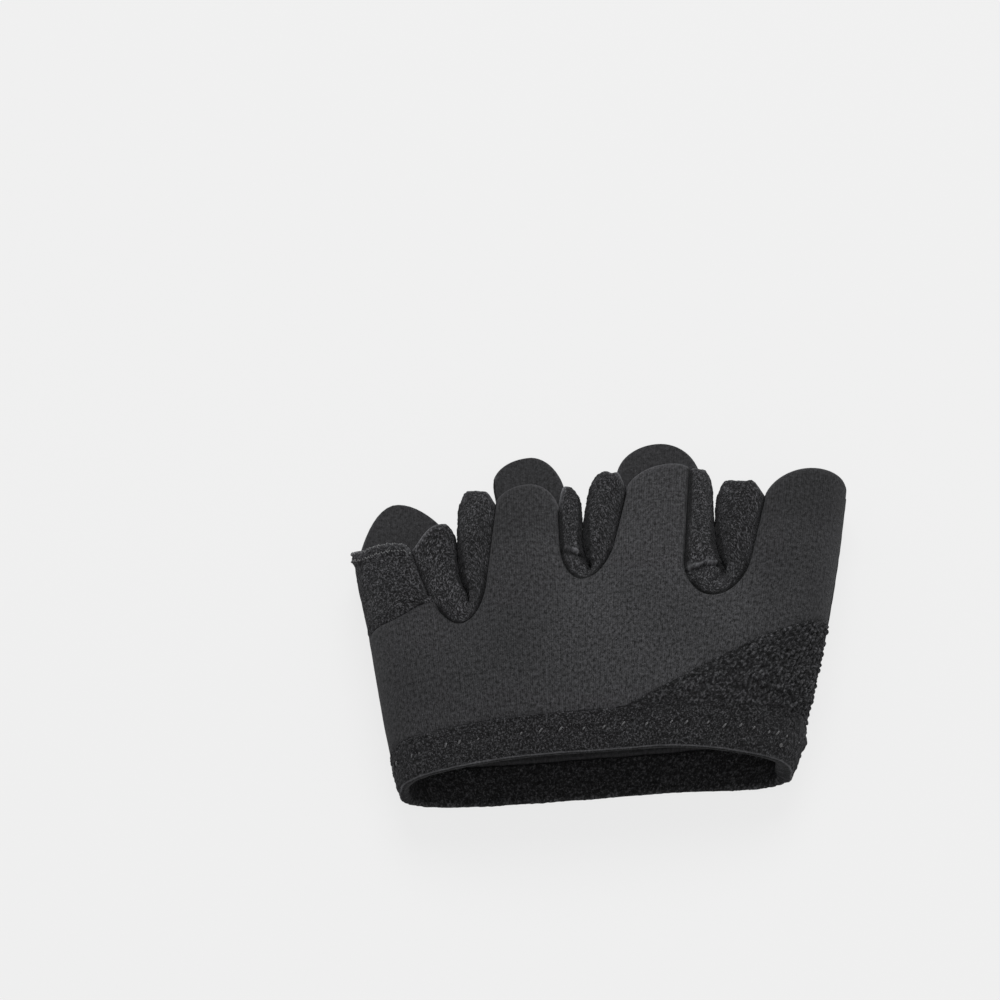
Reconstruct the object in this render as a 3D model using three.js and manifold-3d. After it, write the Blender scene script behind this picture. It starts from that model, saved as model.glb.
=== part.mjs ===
// Fitness glove for the left hand, without a thumb and with four short open fingers, lying on its palm.
// Millimetres. +X points to the index finger, +Y to the fingertips and +Z up through the back of the hand.
import * as THREE from 'three';
import { mergeVertices } from 'three/addons/utils/BufferGeometryUtils.js';
import Module from 'manifold-3d';

// Walls and the small gaps between sewn pieces
const KNIT = 1.5;
const SUEDE = 1.8;
const STRIP = 1.3;
const CUFF = 2.2;
const GAP = 0.3;

// Heights of the printed grips, from the floor up
const HONEYCOMB_THICK = 0.6;
const PAD_FLOOR = HONEYCOMB_THICK + GAP;
const PAD_EDGE = 1.2;
const PAD_ROLL = 0.9;

// Seams across the hand
const RIM = -2.1;
const CUFF_SEAM = 6.3;
const PATCH_SEAM = 32.6;
// The rim and the patch's seam slant: they rise by so much, from one place across the hand to another
const RIM_RISE = { by: -1.9, from: 8, to: 38 };
const PATCH_RISE = { by: 3.1, from: -43, to: -33 };

// Middle of the glove's box, which becomes the origin
const MIDDLE = { x: 1.215, y: 37.611 };

// The hollow hand at stations along it: both edges, the height of the side seam, the top, the underside,
// and how square the lower corners are
const SECTIONS = [
  { y: -4, left: -42.8, right: 35.5, seam: 9.0, top: 23.0, under: 0.8, corner: 3.2 },
  { y: 0, left: -43.5, right: 37.0, seam: 9.5, top: 24.0, under: 0.8, corner: 3.2 },
  { y: 12, left: -45.4, right: 41.0, seam: 10.5, top: 26.0, under: 2.6, corner: 4.0 },
  { y: 24, left: -46.8, right: 44.6, seam: 11.0, top: 27.0, under: 3.2, corner: 5.0 },
  { y: 36, left: -48.2, right: 47.8, seam: 11.0, top: 26.5, under: 3.2, corner: 5.0 },
  { y: 50, left: -50.2, right: 51.0, seam: 10.0, top: 24.0, under: 2.2, corner: 5.0 },
  { y: 66, left: -51.0, right: 54.0, seam: 9.0, top: 20.5, under: 1.1, corner: 5.0 },
  { y: 82, left: -51.0, right: 55.5, seam: 8.0, top: 18.0, under: 0.7, corner: 5.0 },
];
const SHOULDER = 2.5;

// Gaps between the fingers: crotch, lean to the right for each mm along, half width, and how it spreads.
// The slit is where the two legs of the strip in the gap meet: its place at y 52, its lean, its foot, how
// far it bends to the right there and over what length, and how far it opens at the ends. left and right are
// how far the two legs reach and how square their ends are.
const SLOTS = [
  {
    name: 'fourchette_ring_little',
    back: { x: -28.3, y: 29.9, lean: -0.068, half: 3.6, spread: 0.233, round: 8 },
    palm: { x: -23.6, y: 40.9, lean: -0.10, half: 5.2, spread: 0, round: 9 },
    slit: { x: -28.6, lean: 0.035, foot: 38.0, bend: 2.6, over: 4.0, open: 0.5 },
    left: { reach: 55.8, square: 6 },
    right: { reach: 62.2, square: 18 },
  },
  {
    name: 'fourchette_middle_ring',
    back: { x: -3.0, y: 37.2, lean: 0.14, half: 3.9, spread: 0.13, round: 8 },
    palm: { x: 0.4, y: 43.2, lean: -0.02, half: 5.2, spread: 0, round: 9 },
    slit: { x: -2.8, lean: 0.137, foot: 41.6, bend: 2.9, over: 4.0, open: 1.1 },
    left: { reach: 61.7, square: 12 },
    right: { reach: 65.3, square: 24 },
  },
  {
    name: 'fourchette_index_middle',
    back: { x: 22.7, y: 31.4, lean: 0.205, half: 5.6, spread: 0.085, round: 8 },
    palm: { x: 27.2, y: 39.4, lean: 0.03, half: 4.6, spread: 0, round: 9 },
    slit: { x: 24.4, lean: 0.11, foot: 38.6, bend: 3.3, over: 5.0, open: 0.7 },
    left: { reach: 64.0, square: 20 },
    right: { reach: 60.6, square: 24 },
  },
];
// The skin dips into the gaps between the fingers
const VALLEY = { back: 4.5, palm: 3.0, width: 7.5, before: 14, length: 26 };
// The strips swell into the gaps up to the slit, which their legs keep this far from. They grow out of the
// web at the crotch over this share of their length.
const WEB = { part: 0.7, fullness: 0.62, lift: 2.2, crotchSwell: 0.2, crotchLength: 0.2 };

// Ends of the four fingers, little to index: how far their left side, tip and right side reach,
// where across the finger the tip is, and how full the curve is, where less is fuller
const LOBES = {
  back: [
    { left: 54.2, tip: 50.9, right: 48.2, at: 0.30, full: 0.5 },
    { left: 56.4, tip: 61.3, right: 54.0, at: 0.52, full: 0.5 },
    { left: 58.2, tip: 64.2, right: 62.4, at: 0.70, full: 0.45 },
    { left: 54.4, tip: 62.6, right: 59.6, at: 0.60, full: 0.5 },
  ],
  palm: [
    { left: 52.5, tip: 69.0, right: 60.0, at: 0.50, full: 0.8 },
    { left: 69.5, tip: 78.4, right: 66.6, at: 0.58, full: 0.5 },
    { left: 70.0, tip: 79.4, right: 67.8, at: 0.50, full: 0.5 },
    { left: 61.5, tip: 64.0, right: 59.5, at: 0.40, full: 0.5 },
  ],
};
// The little and the index finger's lobes turn round the side of the hand by this share
const OUTER = 0.66;

// The mesh gusset rises in a straight line from the cuff to the index side
const GUSSET = { x: 0.6, y: 5.1, slope: 0.496, start: 5 };

// The padded oval across the palm: its outline, walked round from the index side
const PAD_CENTRE = { x: 0, y: 21.5 };
const PAD_OUTLINE = [
  { x: 43.0, y: 24.5 }, { x: 39.0, y: 32.2 }, { x: 21.4, y: 31.8 }, { x: 1.2, y: 31.8 },
  { x: -12.4, y: 34.2 }, { x: -25.8, y: 36.7 }, { x: -37.0, y: 36.0 }, { x: -43.5, y: 27.5 },
  { x: -39.0, y: 17.5 }, { x: -20.0, y: 10.5 }, { x: 5.0, y: 7.3 }, { x: 20.3, y: 8.7 },
  { x: 35.0, y: 14.7 },
];
// The raised honeycomb: its edge lies this far inside the pad's
const HONEYCOMB = { pitch: 4.67, line: 0.65, inset: 0.7, rows: 5, cells: 10 };

// Wavy grip lines on each finger: middle of the stack, its half width and half height
const WAVES = [
  { name: 'little', x: -43.0, y: 48.0, half: 4.3, reach: 7.0 },
  { name: 'ring', x: -13.2, y: 51.5, half: 4.8, reach: 7.6 },
  { name: 'middle', x: 13.4, y: 50.8, half: 6.1, reach: 7.6 },
  { name: 'index', x: 42.4, y: 47.0, half: 4.6, reach: 7.0 },
];
// Each line's peak, and where it turns up again as a share of the stack's half width
const WAVE = { lines: 8, peak: 1.6, turn: 0.77, thick: 0.7, tall: 0.4, narrowing: 0.8, steps: 8 };

// How finely the faceted pieces are divided
const COLUMNS = 7;
const BODY_ROWS = 7;
const FINGER_ROWS = 6;
const STUB_ROWS = 2;
const STRIP_COLUMNS = 7;
const STRIP_ROWS = 6;
const GUSSET_COLUMNS = 14;
const GUSSET_ROWS = 5;
const CUFF_TURNS = 56;
const CUFF_ROWS = 3;
const PAD_TURNS = 44;
const OUTLINE_STEPS = 60;
// Rows crowd towards the crotches by this power
const CROWDING = 1.4;

const wasm = await Module();
wasm.setup();

const lerp = THREE.MathUtils.lerp;
const clamp = THREE.MathUtils.clamp;

// A column of SECTIONS at any station, on a smooth curve through the stations
function along(column, y) {
  const last = SECTIONS.length - 1;
  const at = clamp(y, SECTIONS[0].y, SECTIONS[last].y);
  let i = 0;
  while (i < last - 1 && SECTIONS[i + 1].y <= at) i += 1;
  const slope = (k) => {
    const a = SECTIONS[Math.max(k - 1, 0)];
    const b = SECTIONS[Math.min(k + 1, last)];
    return (b[column] - a[column]) / (b.y - a.y);
  };
  const span = SECTIONS[i + 1].y - SECTIONS[i].y;
  const t = (at - SECTIONS[i].y) / span;
  const rise = t * t * (3 - 2 * t);
  const bend = slope(i) * (t ** 3 - 2 * t * t + t) + slope(i + 1) * (t ** 3 - t * t);
  return lerp(SECTIONS[i][column], SECTIONS[i + 1][column], rise) + span * bend;
}

function slanted(level, rise, x) {
  return level + rise.by * THREE.MathUtils.smoothstep(x, rise.from, rise.to);
}

// Middle line and half width of a gap between fingers, on the back or on the palm
function slotCentre(k, side, y) {
  const slot = SLOTS[k][side];
  return slot.x + slot.lean * (y - slot.y);
}

function slotHalf(k, side, y) {
  const slot = SLOTS[k][side];
  const up = Math.max(0, y - slot.y);
  const t = Math.min(up / slot.round, 1);
  return slot.half * Math.sqrt(1 - (1 - t) ** 2) + slot.spread * up;
}

// Place across the hand as p, from -1 at the little side's seam to 1 at the index side's
function across(x, y) {
  const left = along('left', y);
  const right = along('right', y);
  return Math.asin(clamp((2 * x - left - right) / (right - left), -1, 1)) * 2 / Math.PI;
}

function valley(x, y, side) {
  let depth = 0;
  SLOTS.forEach((slot, k) => {
    const t = clamp((y - slot[side].y + VALLEY.before) / VALLEY.length, 0, 1);
    const off = (x - slotCentre(k, side, y)) / VALLEY.width;
    depth += VALLEY[side] * t * t * (3 - 2 * t) * Math.exp(-off * off);
  });
  return depth;
}

// A point of the outer skin; seamGap parts the back and the palm along the side seam
function skin(side, p, y, seamGap = GAP / 2) {
  const left = along('left', y);
  const right = along('right', y);
  const s = Math.sin(Math.PI / 2 * clamp(p, -1, 1));
  const x = (left + right) / 2 + (right - left) / 2 * s;
  const power = side === 'back' ? SHOULDER : along('corner', y);
  const rise = Math.max(0, 1 - Math.abs(s) ** power) ** (1 / power);
  const dip = valley(x, y, side);
  const seam = along('seam', y);
  if (side === 'back') {
    return new THREE.Vector3(x, y, seam + seamGap + rise * (along('top', y) - seam - dip));
  }
  return new THREE.Vector3(x, y, seam - seamGap - rise * (seam - along('under', y) - dip));
}

// The skin's point moved inwards, square to it
function inset(side, p, y, depth, seamGap = GAP / 2) {
  const step = 0.002;
  const a = clamp(p, -1 + step, 1 - step);
  const acrossSkin = skin(side, a + step, y, seamGap).sub(skin(side, a - step, y, seamGap));
  const alongSkin = skin(side, a, y + step, seamGap).sub(skin(side, a, y - step, seamGap));
  const inwards = acrossSkin.cross(alongSkin).normalize();
  if (side === 'back') inwards.negate();
  if (Math.abs(p) === 1) inwards.set(-Math.sign(p), 0, 0);
  return skin(side, p, y, seamGap).addScaledVector(inwards, depth);
}

// How far a finger's lobe reaches at c, 0 at its left edge to 1 at its right
function lobeEnd(finger, side, c) {
  const lobe = LOBES[side][finger];
  const turned = (t) => (1 - Math.cos(Math.PI / 2 * OUTER * t)) / (1 - Math.cos(Math.PI / 2 * OUTER));
  let place = c;
  if (finger === 0) place = turned(c);
  if (finger === 3) place = 1 - turned(1 - c);
  const off = place < lobe.at ? (lobe.at - place) / lobe.at : (place - lobe.at) / (1 - lobe.at);
  const foot = place < lobe.at ? lobe.left : lobe.right;
  return lerp(foot, lobe.tip, Math.max(0, 1 - off * off) ** lobe.full);
}

function fingerEdges(finger, side, y) {
  const left = finger === 0 ? -1 : across(slotCentre(finger - 1, side, y) + slotHalf(finger - 1, side, y), y);
  const right = finger === 3 ? 1 : across(slotCentre(finger, side, y) - slotHalf(finger, side, y), y);
  return { left, right };
}

// Where the finger leaves the hand: a line from crotch to crotch
function fingerBase(finger, side, c) {
  const left = SLOTS[Math.max(finger - 1, 0)][side].y;
  const right = SLOTS[Math.min(finger, 2)][side].y;
  return lerp(left, right, c);
}

function fingerPlace(finger, side, c, y) {
  const edges = fingerEdges(finger, side, y);
  return { p: lerp(edges.left, edges.right, c), y };
}

// Columns crowd towards the finger's edges, so that the lobes come out round
const columnPlace = (i) => (1 - Math.cos(Math.PI * i / COLUMNS)) / 2;

// A net of places: columns across the finger, rows from one line to another
function fingerNet(finger, side, from, to, rows) {
  return Array.from({ length: COLUMNS + 1 }, (_, i) => {
    const c = columnPlace(i);
    return Array.from({ length: rows + 1 }, (__, j) => {
      const y = lerp(from(c), to(c), (j / rows) ** CROWDING);
      return fingerPlace(finger, side, c, y);
    });
  });
}

// The hand below the fingers: columns run straight from a lower line to each finger's base
function bodyNet(side, lower) {
  const columns = [];
  for (let finger = 0; finger < 4; finger += 1) {
    for (let i = finger === 0 ? 0 : 1; i <= COLUMNS; i += 1) {
      const c = columnPlace(i);
      const top = fingerPlace(finger, side, c, fingerBase(finger, side, c));
      const bottom = lower(top.p);
      columns.push(Array.from({ length: BODY_ROWS + 1 }, (_, j) => (
        { p: top.p, y: lerp(bottom, top.y, j / BODY_ROWS) }
      )));
    }
  }
  return columns;
}

function netCells(net) {
  const cells = [];
  for (let i = 0; i + 1 < net.length; i += 1) {
    for (let j = 0; j + 1 < net[i].length; j += 1) {
      cells.push([net[i][j], net[i + 1][j], net[i + 1][j + 1], net[i][j + 1]]);
    }
  }
  return cells;
}

// Closed geometry from points and faces, turned so that its faces point out
function closedGeometry(points, triangles) {
  let volume = 0;
  for (const [a, b, c] of triangles) {
    volume += points[a].dot(new THREE.Vector3().crossVectors(points[b], points[c]));
  }
  const outward = volume > 0 ? triangles : triangles.map(([a, b, c]) => [a, c, b]);
  const geometry = new THREE.BufferGeometry();
  geometry.setAttribute('position', new THREE.Float32BufferAttribute(points.flatMap((q) => q.toArray()), 3));
  geometry.setIndex(outward.flat());
  geometry.computeVertexNormals();
  return geometry;
}

// A wall over a net of cells: an outer skin, an inner skin and the rim that joins them
function wall(cells, outer, inner) {
  const numbers = new Map();
  const places = [];
  const number = (place) => {
    const key = `${place.p.toFixed(5)} ${place.y.toFixed(4)}`;
    if (!numbers.has(key)) {
      numbers.set(key, places.length);
      places.push(place);
    }
    return numbers.get(key);
  };
  const faces = cells.map((cell) => cell.map(number).filter((n, i, all) => n !== all[(i + 1) % all.length]));
  const count = places.length;
  const triangles = [];
  const edges = new Map();
  for (const face of faces) {
    for (let i = 1; i + 1 < face.length; i += 1) {
      triangles.push([face[0], face[i], face[i + 1]]);
      triangles.push([face[0] + count, face[i + 1] + count, face[i] + count]);
    }
    face.forEach((a, i) => {
      const b = face[(i + 1) % face.length];
      edges.set(`${a} ${b}`, [a, b]);
    });
  }
  for (const [a, b] of edges.values()) {
    if (!edges.has(`${b} ${a}`)) {
      triangles.push([b, a, a + count]);
      triangles.push([b, a + count, b + count]);
    }
  }
  return closedGeometry([...places.map(outer), ...places.map(inner)], triangles);
}

function skinWall(cells, side, thickness) {
  return wall(cells, (q) => skin(side, q.p, q.y), (q) => inset(side, q.p, q.y, thickness));
}

// Palm: one suede piece from the cuff to the four tall lobes
function palmPanel() {
  const cells = netCells(bodyNet('palm', () => CUFF_SEAM + GAP / 2));
  for (let finger = 0; finger < 4; finger += 1) {
    const base = (c) => fingerBase(finger, 'palm', c);
    const end = (c) => lobeEnd(finger, 'palm', c);
    cells.push(...netCells(fingerNet(finger, 'palm', base, end, FINGER_ROWS)));
  }
  return skinWall(cells, 'palm', SUEDE);
}

const gussetLine = (x) => GUSSET.y + GUSSET.slope * (x - GUSSET.x);

// Where the gusset's line crosses a column of the back
function gussetTop(p) {
  let y = CUFF_SEAM;
  for (let turn = 0; turn < 20; turn += 1) y = gussetLine(skin('back', p, y).x);
  return y;
}

// Where the patch's seam crosses the little finger at c
function patchSeam(c) {
  let y = PATCH_SEAM;
  for (let turn = 0; turn < 8; turn += 1) {
    y = slanted(PATCH_SEAM, PATCH_RISE, skin('back', fingerPlace(0, 'back', c, y).p, y).x);
  }
  return y;
}

// Back: knit from the cuff and the gusset to the ring, middle and index lobes and the little finger's patch
function backPanel() {
  const lower = (p) => Math.max(CUFF_SEAM, gussetTop(p)) + GAP / 2;
  const cells = netCells(bodyNet('back', lower));
  for (let finger = 0; finger < 4; finger += 1) {
    const base = (c) => fingerBase(finger, 'back', c);
    const end = (c) => (finger === 0 ? patchSeam(c) - GAP / 2 : lobeEnd(finger, 'back', c));
    cells.push(...netCells(fingerNet(finger, 'back', base, end, finger === 0 ? STUB_ROWS : FINGER_ROWS)));
  }
  return skinWall(cells, 'back', KNIT);
}

function littleFingerPatch() {
  const base = (c) => patchSeam(c) + GAP / 2;
  const end = (c) => lobeEnd(0, 'back', c);
  return skinWall(netCells(fingerNet(0, 'back', base, end, FINGER_ROWS)), 'back', KNIT);
}

function meshGusset() {
  const start = across(GUSSET.start, CUFF_SEAM);
  const net = Array.from({ length: GUSSET_COLUMNS + 1 }, (_, i) => {
    const p = lerp(start, 1, i / GUSSET_COLUMNS);
    const top = gussetTop(p) - GAP / 2;
    return Array.from({ length: GUSSET_ROWS + 1 }, (__, j) => (
      { p, y: lerp(CUFF_SEAM + GAP / 2, top, j / GUSSET_ROWS) }
    ));
  });
  return skinWall(netCells(net), 'back', KNIT);
}

// Cuff: a closed band round the hand opening; p runs on past 1 round the palm, back to the start at 3
function cuffBand() {
  const net = Array.from({ length: CUFF_TURNS + 1 }, (_, i) => {
    const p = -1 + 4 * (i % CUFF_TURNS) / CUFF_TURNS;
    const rim = slanted(RIM, RIM_RISE, skin('back', p <= 1 ? p : 2 - p, RIM).x);
    return Array.from({ length: CUFF_ROWS + 1 }, (__, j) => (
      { p, y: lerp(rim, CUFF_SEAM - GAP / 2, j / CUFF_ROWS) }
    ));
  });
  const place = (q, depth) => (
    q.p <= 1 ? inset('back', q.p, q.y, depth, 0) : inset('palm', 2 - q.p, q.y, depth, 0)
  );
  return wall(netCells(net), (q) => place(q, 0), (q) => place(q, CUFF));
}

// Strip between two fingers: a U that swells into the gap, from the palm's edge at h = 0 up to the back's
// at 1. p runs from -1 at the left finger's end, through the crotch at 0, to 1 at the right finger's end.
function fourchette(k) {
  const slot = SLOTS[k];
  const edge = (side, leg, up) => {
    const lobe = LOBES[side][leg < 0 ? k : k + 1];
    const { reach } = leg < 0 ? slot.left : slot.right;
    const foot = Math.min(leg < 0 ? lobe.right : lobe.left, reach + 1.5);
    const y = lerp(slot[side].y, foot, up);
    const x = slotCentre(k, side, y) + leg * slotHalf(k, side, y);
    return skin(side, across(x, y), y);
  };
  const surface = (p, h) => {
    const leg = p < 0 ? -1 : 1;
    const up = Math.abs(p);
    const back = edge('back', leg, up);
    const palm = edge('palm', leg, up);
    back.z -= KNIT + 2 * GAP;
    palm.z += SUEDE + 3 * GAP;
    const point = palm.clone().lerp(back, h);
    const { slit } = slot;
    const end = leg < 0 ? slot.left : slot.right;
    const reach = lerp(slit.foot, end.reach, up);
    const high = 1 - Math.abs(2 * h - 1) ** (2 + end.square * up);
    const rise = clamp(2 * h, 0, 1) ** 2 * (3 - 2 * clamp(2 * h, 0, 1));
    point.y = h > 0.5 ? lerp(back.y, reach, high) : lerp(palm.y, reach, rise);
    const bend = slit.bend * Math.exp(Math.min(0, slit.foot - point.y) / slit.over);
    const middle = slit.x + slit.lean * (point.y - 52) + bend;
    const swell = Math.sin(Math.PI * clamp(h, 0, 1)) ** WEB.fullness;
    const part = WEB.part * Math.min(1, 2 * up / WEB.crotchLength) + slit.open * up ** 4;
    const closing = Math.min(1, WEB.crotchSwell + up / WEB.crotchLength);
    point.x = lerp(point.x, middle + leg * part, swell * closing);
    point.z += WEB.lift * swell * Math.sin(Math.PI / 2 * clamp(h, 0, 1));
    return point;
  };
  const net = Array.from({ length: 2 * STRIP_COLUMNS + 1 }, (_, i) => {
    const t = (i - STRIP_COLUMNS) / STRIP_COLUMNS;
    const p = Math.sign(t) * Math.abs(t) ** CROWDING;
    return Array.from({ length: STRIP_ROWS + 1 }, (__, j) => ({ p, y: j / STRIP_ROWS }));
  });
  const inner = (q) => {
    const step = 0.01;
    const a = clamp(q.p, -1 + step, 1 - step);
    const h = clamp(q.y, step, 1 - step);
    const alongU = surface(a + step, h).sub(surface(a - step, h));
    const upwards = surface(a, h + step).sub(surface(a, h - step));
    const away = alongU.cross(upwards).normalize();
    return surface(q.p, q.y).addScaledVector(away, STRIP);
  };
  return wall(netCells(net), (q) => surface(q.p, q.y), inner);
}

// Outline of the pad as a smooth loop, drawn in by so much all round
function padLoop(inwards) {
  const points = PAD_OUTLINE.map((q) => new THREE.Vector3(q.x, q.y, 0));
  const curve = new THREE.CatmullRomCurve3(points, true, 'centripetal');
  return (turn) => {
    const way = curve.getTangentAt(turn % 1);
    return curve.getPointAt(turn % 1).add(new THREE.Vector3(-way.y, way.x, 0).multiplyScalar(inwards));
  };
}

// Pad: flat below where it rests, rolled up at its edge, and fitted to the palm above
function palmPad() {
  const edge = 2;
  const rings = [0, 0.47, 0.82, 1, edge];
  const outer = padLoop(0);
  const flat = padLoop(PAD_ROLL);
  const centre = new THREE.Vector3(PAD_CENTRE.x, PAD_CENTRE.y, 0);
  const place = (q) => (q.y === edge ? outer(q.p) : flat(q.p).lerp(centre, 1 - q.y));
  const net = Array.from({ length: PAD_TURNS + 1 }, (_, i) => (
    rings.map((ring) => ({ p: ring === 0 ? 0 : (i % PAD_TURNS) / PAD_TURNS, y: ring }))
  ));
  const above = (q) => {
    const point = place(q);
    point.z = skin('palm', across(point.x, point.y), point.y).z - GAP;
    return point;
  };
  const below = (q) => {
    const point = place(q);
    point.z = q.y === edge ? Math.max(above(q).z - PAD_EDGE, PAD_FLOOR) : PAD_FLOOR;
    return point;
  };
  return wall(netCells(net), below, above);
}

function toSolid(geometry) {
  const bare = geometry.clone();
  bare.deleteAttribute('normal');
  bare.deleteAttribute('uv');
  const merged = mergeVertices(bare);
  return new wasm.Manifold(new wasm.Mesh({
    numProp: 3,
    vertProperties: new Float32Array(merged.attributes.position.array),
    triVerts: new Uint32Array(merged.index.array),
  }));
}

function toGeometry(solid) {
  const mesh = solid.getMesh();
  const geometry = new THREE.BufferGeometry();
  geometry.setAttribute('position', new THREE.BufferAttribute(new Float32Array(mesh.vertProperties), 3));
  geometry.setIndex(new THREE.BufferAttribute(new Uint32Array(mesh.triVerts), 1));
  geometry.computeVertexNormals();
  return geometry;
}

// Honeycomb: a flat plate of the pad's outline, cut through by six-sided cells
function honeycombGrip() {
  const loop = padLoop(HONEYCOMB.inset);
  const outline = Array.from({ length: OUTLINE_STEPS }, (_, i) => loop(i / OUTLINE_STEPS));
  const shape = new THREE.Shape(outline.map((q) => new THREE.Vector2(q.x, q.y)));
  let plate = toSolid(new THREE.ExtrudeGeometry(shape, { depth: HONEYCOMB_THICK, bevelEnabled: false }));
  const radius = (HONEYCOMB.pitch - HONEYCOMB.line) / Math.sqrt(3);
  const cell = new THREE.CylinderGeometry(radius, radius, 4 * HONEYCOMB_THICK, 6);
  cell.rotateX(Math.PI / 2);
  const cutter = toSolid(cell);
  const rowStep = HONEYCOMB.pitch * Math.sqrt(3) / 2;
  for (let row = -HONEYCOMB.rows; row <= HONEYCOMB.rows; row += 1) {
    for (let i = -HONEYCOMB.cells; i <= HONEYCOMB.cells; i += 1) {
      const x = PAD_CENTRE.x + (i + (row % 2) / 2) * HONEYCOMB.pitch;
      plate = plate.subtract(cutter.translate([x, PAD_CENTRE.y + row * rowStep, 0]));
    }
  }
  return toGeometry(plate);
}

// One wavy line: a peak that points to the fingertip, and ends that turn up again
function waveLine(stack, row) {
  const height = 2 * row / (WAVE.lines - 1) - 1;
  const half = stack.half * Math.sqrt(1 - (WAVE.narrowing * height) ** 2);
  const place = (q) => {
    const x = stack.x + half * q.p;
    const crest = WAVE.peak / 2 * Math.cos(Math.PI * half * q.p / (WAVE.turn * stack.half));
    const y = stack.y + stack.reach * height + crest + (q.y - 0.5) * WAVE.thick;
    return { x, y };
  };
  const under = (q, depth) => {
    const { x, y } = place(q);
    return inset('palm', across(x, y), y, -depth);
  };
  const net = Array.from({ length: WAVE.steps + 1 }, (_, i) => (
    [0, 1].map((y) => ({ p: 2 * i / WAVE.steps - 1, y }))
  ));
  return wall(netCells(net), (q) => under(q, GAP + WAVE.tall), (q) => under(q, GAP));
}

// Finishes
const knit = new THREE.MeshStandardMaterial({ color: 0x34353a, roughness: 0.9, metalness: 0 });
const rib = new THREE.MeshStandardMaterial({ color: 0x2c2d30, roughness: 0.95, metalness: 0 });
const mesh = new THREE.MeshStandardMaterial({ color: 0x28292c, roughness: 0.95, metalness: 0 });
const hem = new THREE.MeshStandardMaterial({ color: 0x232427, roughness: 0.9, metalness: 0 });
const suede = new THREE.MeshStandardMaterial({ color: 0x1a1a1c, roughness: 1, metalness: 0 });
const silicone = new THREE.MeshStandardMaterial({ color: 0x55565a, roughness: 0.5, metalness: 0 });

const glove = new THREE.Group();

function addPiece(name, geometry, material) {
  const piece = new THREE.Mesh(geometry, material);
  piece.name = name;
  glove.add(piece);
}

addPiece('palm_panel', palmPanel(), suede);
addPiece('back_panel', backPanel(), knit);
addPiece('little_finger_patch', littleFingerPatch(), rib);
addPiece('mesh_gusset', meshGusset(), mesh);
addPiece('cuff_band', cuffBand(), hem);
SLOTS.forEach((slot, k) => addPiece(slot.name, fourchette(k), rib));
addPiece('palm_pad', palmPad(), suede);
addPiece('honeycomb_grip', honeycombGrip(), silicone);
for (const stack of WAVES) {
  for (let row = 0; row < WAVE.lines; row += 1) {
    addPiece(`grip_line_${stack.name}_${row + 1}`, waveLine(stack, row), silicone);
  }
}

glove.position.set(-MIDDLE.x, -MIDDLE.y, 0);

export default glove;
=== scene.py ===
import math
from collections import Counter
from functools import partial

import bmesh
import bpy
import numpy as np
from mathutils import Matrix, Vector, kdtree


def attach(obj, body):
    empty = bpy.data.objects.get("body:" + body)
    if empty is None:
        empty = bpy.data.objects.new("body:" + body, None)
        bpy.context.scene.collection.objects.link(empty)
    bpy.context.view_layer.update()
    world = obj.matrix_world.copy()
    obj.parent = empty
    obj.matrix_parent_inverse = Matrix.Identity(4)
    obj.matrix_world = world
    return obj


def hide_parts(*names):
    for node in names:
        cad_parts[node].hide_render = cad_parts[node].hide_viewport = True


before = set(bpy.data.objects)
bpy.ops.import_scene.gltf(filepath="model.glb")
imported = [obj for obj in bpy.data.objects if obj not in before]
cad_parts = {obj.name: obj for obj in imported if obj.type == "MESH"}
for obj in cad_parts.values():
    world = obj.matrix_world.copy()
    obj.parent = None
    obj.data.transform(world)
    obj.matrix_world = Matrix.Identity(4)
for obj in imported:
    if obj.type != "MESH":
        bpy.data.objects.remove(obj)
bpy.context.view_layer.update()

# Fitness glove for the left hand, lying on its palm. The tables are in millimetres in the hand's own frame:
# +X points to the index finger, +Y to the fingertips and +Z up through the back of the hand.
# MIDDLE is the middle of the glove's box there, which is the origin of the row frame.
MIDDLE = np.array([1.215, 37.611, 0.0])
MM = 0.001

# Walls of the sewn pieces
KNIT = 1.5
SUEDE = 1.8
STRIP = 1.3
CUFF = 2.2
# The cuff's rim and its seam, and how far the stitches lie below that seam
RIM = -2.1
CUFF_SEAM = 6.3
CUFF_ROW = 3.6
# The rim runs out further at the index side: by how much, from one place across to another
RIM_RISE = (-1.9, 8.0, 38.0)
# The patch's seam, and how it rises towards the gap beside the ring finger
PATCH_SEAM = 32.6
PATCH_RISE = (3.1, -43.0, -33.0)
# The gusset's slanted seam: a point on it, its slope, and where across the hand it starts
GUSSET = dict(x=0.6, y=5.1, slope=0.496, start=1.5)
# Neighbours press into each other by this much at a seam
PRESS = 0.12

# The hollow hand at stations along it: both edges, the height of the side seam, the top, the underside,
# and how square the lower corners are; SHOULDER is how square the upper ones are
COLUMNS = ("y", "left", "right", "seam", "top", "under", "corner")
SECTIONS = np.array([
    [-4, -42.8, 35.5, 9.0, 23.0, 0.8, 3.2],
    [0, -43.5, 37.0, 9.5, 24.0, 0.8, 3.2],
    [12, -45.4, 41.0, 10.5, 26.0, 2.6, 4.0],
    [24, -46.8, 44.6, 11.0, 27.0, 3.2, 5.0],
    [36, -48.2, 47.8, 11.0, 26.5, 3.2, 5.0],
    [50, -50.2, 51.0, 10.0, 24.0, 2.2, 5.0],
    [66, -51.0, 54.0, 9.0, 20.5, 1.1, 5.0],
    [82, -51.0, 55.5, 8.0, 18.0, 0.7, 5.0],
])
SHOULDER = 2.5

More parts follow.
